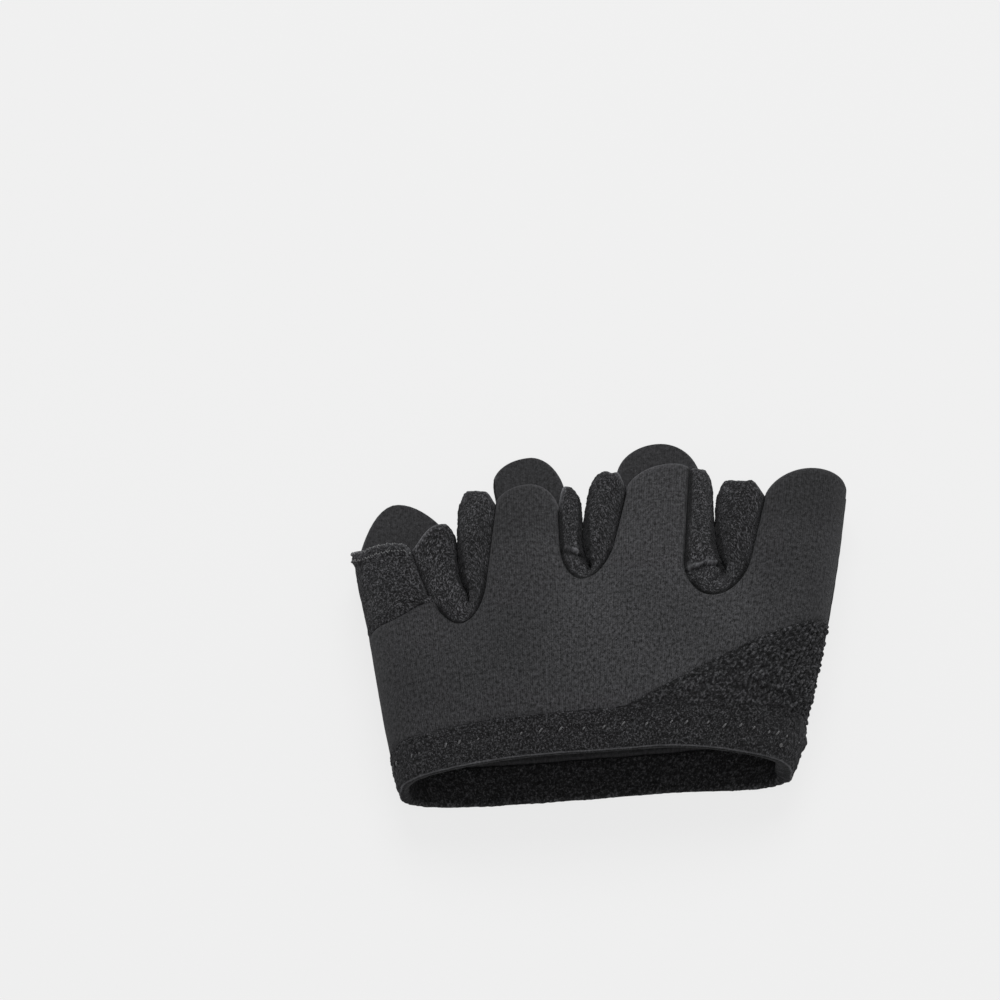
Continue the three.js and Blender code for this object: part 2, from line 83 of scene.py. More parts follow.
# Gaps between the fingers: crotch, lean to the right for each mm along, half width, how it spreads, and the
# length over which the crotch is rounded
GAPS = ("ring_little", "middle_ring", "index_middle")
SLOTS = {
    "back": [
        dict(x=-28.3, y=29.9, lean=-0.068, half=3.6, spread=0.233, round=8),
        dict(x=-3.0, y=37.2, lean=0.14, half=3.9, spread=0.13, round=8),
        dict(x=22.7, y=31.4, lean=0.205, half=5.6, spread=0.085, round=8),
    ],
    "palm": [
        dict(x=-23.6, y=40.9, lean=-0.10, half=5.2, spread=0, round=9),
        dict(x=0.4, y=43.2, lean=-0.02, half=5.2, spread=0, round=9),
        dict(x=27.2, y=39.4, lean=0.03, half=4.6, spread=0, round=9),
    ],
}
# Valleys along the gaps: depth on each side, width, how far before the crotch they start, and the length over
# which they deepen
VALLEY = dict(back=4.5, palm=3.0, width=7.5, before=14, length=26)
# Where the two legs of a strip meet in the gap: the slit between them at y SLIT_Y, its lean, its foot, its
# bend there and over what length, how far the left and the right leg reach, how square their ends are, how
# much fuller they are at the slit and how much lower at the seam, how far they part, and how much of the
# swell stays out of the painted shade in the slit
SLIT_Y = 52
SLITS = [
    dict(x=-28.6, lean=0.035, foot=38.0, bend=2.6, over=4.0, ends=(55.8, 62.2), square=(6, 18),
         full=(0.35, 0.7), low=(0.0, 0.7), part=0.5, dark=0.88),
    dict(x=-2.8, lean=0.137, foot=41.6, bend=2.9, over=4.0, ends=(61.7, 65.3), square=(12, 24),
         full=(0.0, 0.0), low=(0.0, 1.2), part=1.1, dark=0.80),
    dict(x=24.4, lean=0.11, foot=38.6, bend=3.3, over=5.0, ends=(64.0, 60.6), square=(20, 24),
         full=(0.6, 0.85), low=(0.0, 0.8), part=0.7, dark=0.88),
]
# How a strip swells between its seams, how far that lifts it, and where along a leg its end begins
WEB = dict(fullness=0.62, lift=2.2, corner=0.86)
# Folds across the left legs of two strips, as a line in the plane
FOLDS = {1: ((-5.4, 44.9), (-1.0, 44.5)), 2: ((20.2, 38.1), (25.6, 40.2))}

# Ends of the four fingers, little to index: reach of the left side, the tip and the right side,
# where across the finger the tip is, and how full the curve is (less is fuller)
LOBES = {
    "back": [(54.2, 50.9, 48.2, 0.30, 0.5), (56.4, 61.3, 54.0, 0.52, 0.5), (58.2, 64.2, 62.4, 0.70, 0.45),
             (54.4, 62.6, 59.6, 0.60, 0.5)],
    "palm": [(52.5, 69.0, 60.0, 0.50, 0.8), (69.5, 78.4, 66.6, 0.58, 0.5), (70.0, 79.4, 67.8, 0.50, 0.5),
             (61.5, 64.0, 59.5, 0.40, 0.5)],
}
# The outer fingers' share of the turn round the hand, which their columns bunch up on
OUTER = 0.66

# Soft creases in the back: start, end, depth, width
CREASES = [
    ((30.5, 36.0), (38.5, 29.5), 0.35, 1.3),
    ((32.5, 40.5), (41.0, 33.0), 0.30, 1.2),
    ((14.0, 33.0), (9.0, 27.0), 0.25, 1.4),
    ((-20.0, 30.5), (-15.5, 25.0), 0.25, 1.3),
    ((-34.0, 26.0), (-40.0, 21.0), 0.22, 1.3),
    ((4.0, 32.0), (8.0, 24.5), 0.22, 1.3),
]
# Soft creases in the palm, from the gaps between the fingers towards the pad
PALM_CREASES = [
    ((-26.0, 40.5), (-32.0, 37.5), 0.25, 1.0),
    ((-21.5, 40.0), (-15.0, 36.5), 0.28, 1.0),
    ((-1.5, 42.0), (-8.0, 36.5), 0.28, 1.0),
    ((2.5, 42.0), (9.0, 35.0), 0.30, 1.1),
    ((25.0, 38.5), (18.5, 34.5), 0.30, 1.1),
    ((29.5, 38.5), (36.0, 35.5), 0.25, 1.0),
    ((-10.0, 39.0), (-16.0, 42.0), 0.20, 1.3),
    ((16.0, 38.0), (11.0, 41.0), 0.20, 1.3),
]

# The padded oval across the palm: its outline, walked round from the index side, the level of its flat
# underside, the width of its rolled edge, and how far its edge and its hidden top lie in the palm
PAD_CENTRE = np.array([0.0, 21.5])
PAD_OUTLINE = np.array([
    [43.0, 24.5], [39.0, 32.2], [21.4, 31.8], [1.2, 31.8], [-12.4, 34.2], [-25.8, 36.7], [-37.0, 36.0],
    [-43.5, 27.5], [-39.0, 17.5], [-20.0, 10.5], [5.0, 7.3], [20.3, 8.7], [35.0, 14.7],
])
PAD_FLOOR = 0.95
PAD_ROLL = 2.2
PAD_EDGE = 0.25
PAD_TOP = 0.3

# The honeycomb's cells and lines, and half the section of a line, from the middle of its crest up into the
# pad and back to the middle: share of half the line's width, and height
HONEYCOMB = dict(pitch=4.67, line=0.55, inset=0.7, rows=5, cells=10)
LINE_SECTION = ((0, 0.0), (0.35, 0.03), (0.65, 0.14), (0.87, 0.32), (1, 0.62), (1, 1.0), (0, 1.0))

# Wavy grip lines on each finger: middle of the stack, its half width and half height. WAVE has how many lines
# there are, their crests, half a turn as a share of the half width, their section, how much the stack narrows
# towards its ends, and the length of their round caps
WAVES = {
    "little": (-43.0, 48.0, 4.3, 7.0),
    "ring": (-13.2, 51.5, 4.8, 7.6),
    "middle": (13.4, 50.8, 6.1, 7.6),
    "index": (42.4, 47.0, 4.6, 7.0),
}
WAVE = dict(lines=8, peak=1.6, turn=0.77, thick=0.7, tall=0.825, narrowing=0.8, cap=0.35)

# The photograph's size and its scale at AIM in pixels for each mm, and the pixel that shows AIM
PHOTO = 1000
SCALE = 4.88
AIM = np.array([0.0, 34.0, 10.0])
AIM_PIXEL = (602, 620)
SENSOR = 36.0

# Step of p and y between the points that a surface's direction is taken from
STEP = 0.002

dice = np.random.default_rng(20)
LATTICE = dice.random((48, 48, 48))


def smooth(t):
    t = np.clip(t, 0, 1)
    return t * t * (3 - 2 * t)


def bell(x, width):
    """A bump that is 1 at x 0."""
    return np.exp(-(x / width) ** 2)


def unit(v):
    return v / np.maximum(np.linalg.norm(v, axis=-1, keepdims=True), 1e-12)


def lengths(line):
    """How far along a line each of its points is."""
    return np.append(0, np.cumsum(np.linalg.norm(np.diff(line, axis=0), axis=1)))


def normals(surface, a, b):
    """Directions square to a surface: outwards on the back and the cuff, inwards on the palm and strips."""
    return unit(np.cross(surface(a + STEP, b) - surface(a - STEP, b),
                         surface(a, b + STEP) - surface(a, b - STEP)))


def grain(points, size):
    """Smooth noise from 0 to 1 at points, with lumps of that size."""
    at = np.asarray(points) / size
    low = np.floor(at).astype(int)
    t = smooth(at - low)
    total = 0
    for corner in np.ndindex(2, 2, 2):
        weight = np.prod(np.where(corner, t, 1 - t), axis=-1)
        i, j, k = ((low + corner) % len(LATTICE)).T
        total = total + weight * LATTICE[i, j, k].T
    return total


def along(column, y):
    """A column of SECTIONS at any station, on a smooth curve through the stations."""
    stations = SECTIONS[:, 0]
    values = SECTIONS[:, COLUMNS.index(column)]
    last = len(stations) - 1
    at = np.clip(y, stations[0], stations[-1])
    i = np.clip(np.searchsorted(stations, at, side="right") - 1, 0, last - 1)
    before = np.maximum(np.arange(last + 1) - 1, 0)
    after = np.minimum(np.arange(last + 1) + 1, last)
    slope = (values[after] - values[before]) / (stations[after] - stations[before])
    span = stations[i + 1] - stations[i]
    t = (at - stations[i]) / span
    bend = slope[i] * (t ** 3 - 2 * t * t + t) + slope[i + 1] * (t ** 3 - t * t)
    return values[i] * (1 - smooth(t)) + values[i + 1] * smooth(t) + span * bend


def slanted(level, rise, x):
    """A line across the hand at that level, which rises from one place across to another."""
    return level + rise[0] * smooth((x - rise[1]) / (rise[2] - rise[1]))


rim_level = partial(slanted, RIM, RIM_RISE)
patch_level = partial(slanted, PATCH_SEAM, PATCH_RISE)


def gusset_line(x):
    return GUSSET["y"] + GUSSET["slope"] * (x - GUSSET["x"])


def slot_centre(k, side, y):
    slot = SLOTS[side][k]
    return slot["x"] + slot["lean"] * (y - slot["y"])


def slot_edge(k, side, y, leg):
    """The left edge of a gap where leg is -1, and its right edge where leg is 1."""
    slot = SLOTS[side][k]
    up = np.maximum(0, y - slot["y"])
    t = np.minimum(up / slot["round"], 1)
    half = slot["half"] * np.sqrt(1 - (1 - t) ** 2) + slot["spread"] * up
    return slot_centre(k, side, y) + leg * half


def across(x, y):
    """Place across the hand as p, from -1 at the little side's seam to 1 at the index side's."""
    left = along("left", y)
    right = along("right", y)
    return np.arcsin(np.clip((2 * x - left - right) / (right - left), -1, 1)) * 2 / np.pi


def valley(x, y, side):
    depth = 0
    for k, slot in enumerate(SLOTS[side]):
        t = smooth((y - slot["y"] + VALLEY["before"]) / VALLEY["length"])
        depth = depth + VALLEY[side] * t * bell(x - slot_centre(k, side, y), VALLEY["width"])
    return depth


def skin(side, p, y, part=-PRESS / 2):
    """A point of the outer skin; part is how far the back and the palm stand apart at the side seam."""
    left = along("left", y)
    right = along("right", y)
    s = np.sin(np.pi / 2 * np.clip(p, -1, 1))
    x = (left + right) / 2 + (right - left) / 2 * s
    power = SHOULDER if side == "back" else along("corner", y)
    rise = np.maximum(0, 1 - np.abs(s) ** power) ** (1 / power)
    seam = along("seam", y)
    dip = valley(x, y, side)
    if side == "back":
        sag = 1.1 * (grain(np.stack([x, y, 0 * x + 3], -1), 17) - 0.5)
        z = seam + part + rise * (along("top", y) - seam - dip + sag)
    else:
        z = seam - part - rise * (seam - along("under", y) - dip)
    return np.stack([x, y + 0 * x, z], -1)


back_skin = partial(skin, "back")
palm_skin = partial(skin, "palm")


def cuff_skin(p, y):
    """Round the hand: p runs on past 1 round the palm, back to the start at 3."""
    return np.where((p <= 1)[..., None], back_skin(p, y, 0), palm_skin(2 - p, y, 0))


def bunched(c):
    """c on an outer finger, as a share of its width."""
    return (1 - np.cos(np.pi / 2 * OUTER * c)) / (1 - np.cos(np.pi / 2 * OUTER))


def lobe_end(finger, side, c):
    left, tip, right, at, full = LOBES[side][finger]
    if finger == 0:
        c = bunched(c)
    if finger == 3:
        c = 1 - bunched(1 - c)
    off = np.clip(np.where(c < at, (at - c) / at, (c - at) / (1 - at)), 0, 1)
    foot = np.where(c < at, left, right)
    return foot + (tip - foot) * (1 - off * off) ** full


def finger_place(finger, side, c, y):
    """The p of a place on a finger, where c runs from 0 at its left edge to 1 at its right one."""
    left = -1 if finger == 0 else across(slot_edge(finger - 1, side, y, 1), y)
    right = 1 if finger == 3 else across(slot_edge(finger, side, y, -1), y)
    return left + (right - left) * c


def finger_share(finger, side, p, y):
    """The c of a place on a finger."""
    left = finger_place(finger, side, 0.0, y)
    return (p - left) / (finger_place(finger, side, 1.0, y) - left)


def finger_base(finger, side, c):
    left = SLOTS[side][max(finger - 1, 0)]["y"]
    right = SLOTS[side][min(finger, 2)]["y"]
    return left + (right - left) * c


def patch_seam(c):
    """The seam of the patch at c, 0 at the side of the hand to 1 at the gap beside the ring finger."""
    y = PATCH_SEAM + 0 * c
    for _ in range(8):
        y = patch_level(back_skin(finger_place(0, "back", c, y), y)[..., 0])
    return y


def gusset_top(p):
    y = 0 * p + CUFF_SEAM
    for _ in range(25):
        y = gusset_line(back_skin(p, y)[..., 0])
    return y


def crowded(count):
    """Places from 0 to 1 that crowd towards both ends."""
    return (1 - np.cos(np.pi * np.arange(count + 1) / count)) / 2


def finger_net(finger, side, columns, rows, start=None, end=None):
    """The places on a finger from its base to its end, or from and to the levels that start and end give."""
    c = crowded(columns)[:, None]
    low = start(c) if start else finger_base(finger, side, c)
    high = end(c) if end else lobe_end(finger, side, c)
    y = low + (high - low) * crowded(rows)
    return finger_place(finger, side, c, y), y


def body_nets(side, lower, columns, rows):
    """The hand below the fingers, one net below each finger."""
    nets = []
    for finger in range(4):
        c = crowded(columns)[:, None]
        top = finger_base(finger, side, c)
        p = finger_place(finger, side, c, top)
        y = lower(p) + (top - lower(p)) * crowded(rows)
        nets.append((p + 0 * y, y))
    return nets


def arc(side, p):
    """Distance round the skin from the middle of the hand, for patterns that lie in the cloth."""
    steps = np.linspace(-1, 1, 401)
    length = lengths(skin(side, steps, 0 * steps + 26))
    return np.interp(p, steps, length - length[200])


def cloth(side, layer, a, b):
    """Places in the flat cloth. Each cloth has its own layer of the patterns."""
    return np.stack([arc(side, a), b, 0 * a + layer], -1)


def linked(name, data):
    made = bpy.data.objects.new(name, data)
    bpy.context.scene.collection.objects.link(made)
    return made


def new_object(name, points, faces, materials, flat, edge=None, groove=None, finish=None):
    """A piece of the glove. flat is where each point is in the patterns, edge and groove say how light and
    how dark it is, and finish is the number of each face's material."""
    mesh = bpy.data.meshes.new(name)
    mesh.from_pydata(((np.asarray(points) - MIDDLE) * MM).tolist(), [], faces)
    for material in materials:
        mesh.materials.append(material)
    mesh.polygons.foreach_set("use_smooth", [True] * len(mesh.polygons))
    if finish is not None:
        mesh.polygons.foreach_set("material_index", finish)
    layer = mesh.attributes.new("flat", "FLOAT_VECTOR", "POINT")
    layer.data.foreach_set("vector", np.asarray(flat, dtype=np.float32).ravel())
    for attribute, values in (("edge", edge), ("groove", groove)):
        layer = mesh.attributes.new(attribute, "FLOAT", "POINT")
        if values is not None:
            layer.data.foreach_set("value", np.asarray(values, dtype=np.float32))
    mesh.validate()
    mesh.update()
    piece = linked(name, mesh)
    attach(piece, "root")
    return piece


def belt(start, rings, sides):
    """Faces round rings of points, which are numbered from start on."""
    corners = [(start + ring * sides + side, start + ring * sides + (side + 1) % sides)
               for ring in range(rings - 1) for side in range(sides)]
    return [[a, b, b + sides, a + sides] for a, b in corners]


def tube(start, rings, sides):
    """Faces of a tube of rings of points, closed at both ends."""
    first = list(range(start, start + sides))
    last = [side + (rings - 1) * sides for side in first]
    return belt(start, rings, sides) + [first[::-1], last]


def distances(points, lines):
    """Distance from each point to the nearest of the given edges."""
    samples = []
    for a, b in lines:
        count = max(2, int(np.linalg.norm(b - a) / 0.06))
        samples.append(a + (b - a) * np.linspace(0, 1, count)[:, None])
    if not samples:
        return np.full(len(points), 1e3)
    samples = np.concatenate(samples)
    tree = kdtree.KDTree(len(samples))
    for i, q in enumerate(samples):
        tree.insert(q, i)
    tree.balance()
    return np.array([tree.find(q)[2] for q in points])


def merged(nets):
    """One list of places and faces from nets that share their edges."""
    places = np.concatenate([np.stack([p, y], -1).reshape(-1, 2) for p, y in nets])
    keys = np.round(places * [1e5, 1e4]).astype(np.int64)
    _, first, number = np.unique(keys, axis=0, return_index=True, return_inverse=True)
    number = number.ravel()
    faces = []
    start = 0
    for p, _ in nets:
        ids = number[start:start + p.size].reshape(p.shape)
        start += p.size
        quads = np.stack([ids[:-1, :-1], ids[1:, :-1], ids[1:, 1:], ids[:-1, 1:]], -1).reshape(-1, 4)
        faces += [[q for i, q in enumerate(quad) if q != quad[i - 1]] for quad in quads.tolist()]
    return places[first], [face for face in faces if len(face) > 2]


def rounding(distance, width):
    """A quarter round, from 1 at an edge to 0 at that width from it."""
    t = np.clip(1 - distance / width, 0, 1)
    return 1 - np.sqrt(1 - t * t)


def shell(name, nets, surface, thickness, materials, flat, relief, seam, is_free=lambda places: False,
          sign=1, free=(0.5, 0.5), inner_width=0.7, closed=False, groove=(0.0, 0.35),
          shade=lambda a, b, points: (0, 0), soften=lambda points: 1, light=0.45, calm=0.5, fade=0.5,
          inner_relief=0.0, inside_shade=None):
    """A wall of cloth over nets of places, with round edges. seam is the width and drop of the rounding at
    sewn edges and the depth and width over which the cloth sinks to them; free is the width and drop at free
    edges; groove is how far from sewn edges the cloth is dark with painted shade, and over what width that
    fades; soften gives the share of all that at each place, and shade more dark and light, which is painted
    shade, painted highlights and some darker tone of the cloth; light is the width over which free edges are
    lighter, partly as worn and partly as a painted highlight, and calm the width without relief there; fade
    is the width over which the relief ends at sewn edges; inner_relief and inside_shade are for the inner
    side;
    sign is -1 where the normals point inwards."""
    places, faces = merged(nets)
    a, b = places.T
    points = surface(a, b)
    inwards = -sign * normals(surface, a if closed else np.clip(a, STEP - 1, 1 - STEP), b)
    sides = Counter(tuple(sorted((face[i - 1], v))) for face in faces for i, v in enumerate(face))
    rim = np.array([side for side, used in sides.items() if used == 1])
    is_open = np.array([is_free(places[side]) for side in rim])
    to_free = distances(points, points[rim[is_open]])
    to_seam = distances(points, points[rim[~is_open]])
    if callable(thickness):
        thickness = thickness(a)
    strong = soften(points)
    share = seam[1] * strong
    drop = thickness * np.maximum(share * rounding(to_seam, seam[0]), free[1] * rounding(to_free, free[0]))
    lift = thickness * np.maximum((1 - share) * rounding(to_seam, inner_width),
                                  (1 - free[1]) * rounding(to_free, inner_width))
    sink = seam[2] * strong * (1 - smooth(to_seam / seam[3]))
    height = relief(a, b, points) * smooth(to_seam / fade) * smooth(to_free / calm)
    outer = points + inwards * (drop + sink - height)[:, None]
    inner = points + inwards * (thickness - lift + sink + inner_relief * height)[:, None]
    within = np.full(len(a), True)
    within[rim] = False
    below = np.arange(len(a))
    below[within] = len(a) + np.arange(within.sum())
    uv = flat(a, b)
    more_dark, more_light = shade(a, b, points)
    # Lighter free edges, partly wear and partly painted highlight, and the painted highlights that shade
    # gives
    edge = np.maximum(np.exp(-to_free / light) if light else 0, more_light)
    depth = groove[0](a, b, points) if callable(groove[0]) else groove[0]
    # Painted shade along sewn seams, and the painted shade and darker tone that shade gives
    dark = np.maximum(strong * (1 - smooth((to_seam - depth) / groove[1])), more_dark)
    inner_dark = inside_shade(a, b, points) if inside_shade else dark
    return new_object(
        name,
        np.concatenate([outer, inner[within]]),
        [face[::sign] for face in faces] + [below[face[::-sign]].tolist() for face in faces],
        materials,
        flat=np.concatenate([uv, uv[within]]),
        edge=np.concatenate([edge, 0 * edge[within]]),
        groove=np.concatenate([dark, inner_dark[within]]),
        finish=[0] * len(faces) + [1] * len(faces),
    )


# Procedural finishes

def grey(value, warmth=0.0):
    return (value * (1 + warmth), value, value * (1.06 - warmth))


class Finish:
    """A material with one Principled shader, and short calls for its nodes."""

    def __init__(self, name, **sockets):
        self.material = bpy.data.materials.new(name)
        self.material.use_nodes = True
        self.tree = self.material.node_tree
        self.shader = self.tree.nodes["Principled BSDF"]
        self.fill(self.shader, {socket.replace("_", " "): value for socket, value in sockets.items()})

    def fill(self, node, inputs):
        for key, value in inputs.items():
            if isinstance(value, bpy.types.NodeSocket):
                self.tree.links.new(value, node.inputs[key])
            else:
                node.inputs[key].default_value = value

    def node(self, kind, inputs, **settings):
        made = self.tree.nodes.new(kind)
        for key, value in settings.items():
            setattr(made, key, value)
        self.fill(made, inputs)
        return made

    def attribute(self, name, output):
        return self.node("ShaderNodeAttribute", {}, attribute_name=name).outputs[output]

    def place(self, stretch=1.0, turn=0.0):
        """Coordinates in millimetres in the cloth."""
        flat = self.attribute("flat", "Vector")
        inputs = {"Vector": flat, "Scale": (1, stretch, 1), "Rotation": (0, 0, turn)}
        return self.node("ShaderNodeMapping", inputs).outputs["Vector"]

    def noise(self, place, scale, detail, roughness):
        inputs = {"Vector": place, "Scale": scale, "Detail": detail, "Roughness": roughness}
        return self.node("ShaderNodeTexNoise", inputs).outputs["Fac"]

    def spots(self, place, scale):
        return self.node("ShaderNodeTexVoronoi", {"Vector": place, "Scale": scale}).outputs["Distance"]

    def wave(self, place, scale, distortion):
        inputs = {"Vector": place, "Scale": scale, "Distortion": distortion, "Detail": 1.0}
        return self.node("ShaderNodeTexWave", inputs).outputs["Fac"]

    def math(self, operation, a, b=0.0):
        return self.node("ShaderNodeMath", {0: a, 1: b}, operation=operation).outputs["Value"]

    def plus(self, base, value, share):
        """The base and a share of the value."""
        return self.math("ADD", self.math("MULTIPLY", value, share), base)

    def ramp(self, value, *stops):
        """Colours, or plain numbers for a neutral level, at stops of the value."""
        made = self.node("ShaderNodeValToRGB", {"Fac": value})
        elements = made.color_ramp.elements
        while len(elements) < len(stops):
            elements.new(0.5)
        for element, (position, colour) in zip(elements, stops):
            element.position = position
            element.color = (*np.broadcast_to(colour, 3), 1)
        return made.outputs["Color"]

    def blend(self, factor, a, b, kind="MIX"):
        inputs = {0: factor, 6: a, 7: b}
        return self.node("ShaderNodeMix", inputs, data_type="RGBA", blend_type=kind).outputs[2]

    def toned(self, colour, value, low, high, start=0.3, end=0.7):
        """The colour times low where the value is below start, to high where it is above end."""
        return self.blend(1.0, colour, self.ramp(value, (start, low), (end, high)), "MULTIPLY")

    def tinted(self, colour, value, amount, light):
        """The colour, with so much of a grey in it where the value is 1."""
        return self.blend(self.math("MULTIPLY", value, amount), colour, (*grey(light), 1))

    def flecked(self, colour, value, start, end, amount, light):
        """The colour, with flecks that begin where the value is at start and are full at end."""
        return self.tinted(colour, self.ramp(value, (start, 0.0), (end, 1.0)), amount, light)

    def painted_light_and_wear(self, colour, light, amount):
        """Free edges are a little lighter, partly as worn and partly as a painted highlight, and the edge
        attribute also carries painted highlights such as on folds. The groove attribute darkens: painted
        shade at seams, slits and hollows, and some darker tone of the cloth.
        """
        pale = self.tinted(colour, self.attribute("edge", "Fac"), amount, light)
        return self.tinted(pale, self.attribute("groove", "Fac"), 0.98, 0.0006)

    def finished(self, colour, height, distance, **sockets):
        """The material with that colour and with bumps that are distance millimetres high."""
        bump = self.node("ShaderNodeBump", {"Height": height, "Distance": distance * MM, "Strength": 1.0})
        self.fill(self.shader, {"Base Color": colour, "Normal": bump.outputs["Normal"], **sockets})
        return self.material


def knit_finish(name, dark, light, sheen, rib=0.46, bump=0.10, contrast=1.0):
    """Fine jersey: faint ribs, heathered yarn and a few lighter flecks."""
    f = Finish(name, Roughness=0.92, Sheen_Weight=sheen, Sheen_Roughness=0.45, Specular_IOR_Level=0.18,
               Sheen_Tint=(0.75, 0.76, 0.8, 1))
    place = f.place()
    fibres = f.noise(f.place(0.75), 1.6, 4, 0.85)
    wale = f.wave(place, 0.314 / rib, 1.5)
    middle, spread = 0.535, 0.16 / contrast
    body = f.ramp(f.plus(fibres, wale, 0.05), (middle - spread, grey(dark)),
                  (middle, grey((dark + light) / 2)), (middle + spread, grey(light)))
    mixed = f.toned(body, f.noise(place, 0.06, 2, 0.5), 0.88, 1.12)
    mixed = f.flecked(mixed, f.noise(place, 2.6, 1, 0.5), 0.66, 0.76, 0.5 * contrast, light * 1.9)
    return f.finished(f.painted_light_and_wear(mixed, light * 2.2, 0.7), f.plus(fibres, wale, 0.45), bump)


def boucle_finish(name, dark, light, sheen, scale=1.9, turn=0.6, bump=0.28, specks=0.5):
    """Coarse looped knit: curled light loops with dark pores between them, where painted shade makes the
    deepest pores darker still.
    """
    f = Finish(name, Roughness=0.95, Sheen_Weight=sheen, Sheen_Roughness=0.5, Specular_IOR_Level=0.12,
               Sheen_Tint=(0.7, 0.71, 0.75, 1))
    place = f.place()
    curls = f.math("ABSOLUTE", f.math("SUBTRACT", f.noise(place, scale * 0.62, 1, 0.4), 0.5))
    curls = f.ramp(curls, (0.0, 1.0), (0.09, 0.0))
    nubs = f.spots(f.place(1.5, turn), scale)
    loops = f.noise(f.place(0.6, turn), scale * 1.2, 3, 0.75)
    fuzz = f.noise(place, 3.6, 2, 0.6)
    height = f.plus(f.plus(loops, curls, 0.16), nubs, -0.30)
    # The colour follows the height of the loops, with painted shade in the deepest pores
    body = f.ramp(height, (0.22, grey(dark * 0.3)), (0.40, grey(dark)), (0.72, grey(light)))
    mixed = f.toned(body, f.noise(place, 0.25, 2, 0.5), 0.8, 1.15)
    mixed = f.flecked(mixed, fuzz, 0.60, 0.74, specks, light * 2.0)
    return f.finished(f.painted_light_and_wear(mixed, light * 2.2, 0.6), f.plus(height, fuzz, 0.3), bump)


def suede_finish(name, dark, light, sheen, flecks=0.3):
    """Short nap: fine speckle, soft patches where the nap lies another way."""
    f = Finish(name, Roughness=0.97, Sheen_Weight=sheen, Sheen_Roughness=0.35, Specular_IOR_Level=0.08,
               Sheen_Tint=(0.8, 0.8, 0.82, 1))
    place = f.place()
    nap = f.noise(place, 2.6, 4, 0.75)
    clumps = f.noise(place, 1.1, 2, 0.6)
    body = f.ramp(nap, (0.40, grey(dark, 0.01)), (0.62, grey(light, 0.01)))
    mixed = f.toned(body, f.noise(place, 0.12, 3, 0.6), 0.75, 1.2)
    mixed = f.toned(mixed, clumps, 0.7, 1.3, 0.35, 0.65)
    mixed = f.flecked(mixed, f.noise(place, 5.0, 1, 0.5), 0.66, 0.8, flecks, light * 2.6)
    height = f.plus(f.math("ADD", nap, clumps), f.spots(place, 2.2), 0.4)
    return f.finished(f.painted_light_and_wear(mixed, light * 2.4, 0.6), height, 0.2)


def silicone_finish(name, tone):
    """Dusty silicone with a thin uneven film."""
    f = Finish(name, Specular_IOR_Level=0.5)
    place = f.place()
    dust = f.noise(place, 1.6, 3, 0.6)
    colour = f.ramp(dust, (0.3, grey(tone * 0.75)), (0.7, grey(tone * 1.25)))
    colour = f.toned(colour, f.noise(place, 0.35, 2, 0.6), 0.7, 1.25, 0.35, 0.65)
    film = f.plus(0.28, f.noise(place, 0.2, 2, 0.5), 0.25)
    return f.finished(colour, dust, 0.02, Roughness=film)


def thread_finish(name, tone):
    f = Finish(name, Roughness=0.75, Sheen_Weight=0.3, Specular_IOR_Level=0.3)
    twist = f.wave(f.place(turn=0.8), 1.6, 0.5)
    return f.finished(f.ramp(twist, (0.1, grey(tone * 0.55)), (0.8, grey(tone))), twist, 0.06)


# Each has the greys of its dark and light parts and its sheen
back_cloth = knit_finish("back_jersey", 0.003, 0.0455, 0.048, bump=0.16, contrast=1.2)
lining = knit_finish("smooth_lining", 0.005, 0.030, 0.066, rib=0.35, bump=0.08)
coarse_cloth = boucle_finish("coarse_knit", 0.006, 0.100, 0.065, bump=0.4)
mesh_cloth = boucle_finish("gusset_mesh", 0.010, 0.072, 0.065, scale=1.4, turn=0.3, bump=0.2)
hem_cloth = boucle_finish("cuff_hem", 0.006, 0.056, 0.055, scale=2.0, turn=0.2, bump=0.3, specks=0.8)
inside_cloth = boucle_finish("inside_terry", 0.007, 0.054, 0.05, scale=1.5, turn=0.1, bump=0.3, specks=0.7)
suede = suede_finish("palm_suede", 0.0055, 0.0165, 0.075)
pad_suede = suede_finish("pad_suede", 0.005, 0.018, 0.10, 0.4)
grip = silicone_finish("grip_silicone", 0.05)
pale_thread = thread_finish("pale_thread", 0.085)
soft_thread = thread_finish("soft_thread", 0.06)


# Back of the hand

def lobe_test(side, fingers):
    """Tells the free end of a lobe from its sewn edges."""
    def is_free(places):
        p, y = places.mean(0)
        for finger in fingers:
            foot_left, _, foot_right, _, _ = LOBES[side][finger]
            left = finger_place(finger, side, 0.0, min(y, foot_left))
            right = finger_place(finger, side, 1.0, min(y, foot_right))
            c = finger_share(finger, side, p, y)
            if left - 1e-6 <= p <= right + 1e-6 and 0.0005 < c < 0.9995:
                if y > lobe_end(finger, side, c) - 0.6:
                    return True
        return False
    return is_free


def creases(a, b, points, folds=CREASES):
    height = 0.06 * (grain(points + [0, 0, 40], 2.2) - 0.5)
    for start, end, depth, width in folds:
        start = np.array(start)
        line = np.array(end) - start
        t = ((points[:, :2] - start) @ line) / (line @ line)
        off = np.linalg.norm(points[:, :2] - start - np.clip(t, 0, 1)[:, None] * line, axis=1)
        height = height - depth * bell(off, width) * np.clip(1.4 - np.abs(2 * t - 1), 0, 1)
    return height


def flat_seams(points):
    """Flat seams at the cuff, the gusset and the patch, and deep ones at the strips and the sides."""
    x, y, _ = points.T
    above = np.minimum(y - CUFF_SEAM, (y - gusset_line(x)) * 0.9)
    patch = np.where(x < SLOTS["back"][0]["x"], np.abs(y - patch_level(x)), 9)
    return 0.12 + 0.88 * smooth((above - 1.2) / 1.2) * (0.4 + 0.6 * smooth((patch - 1.0) / 1.0))


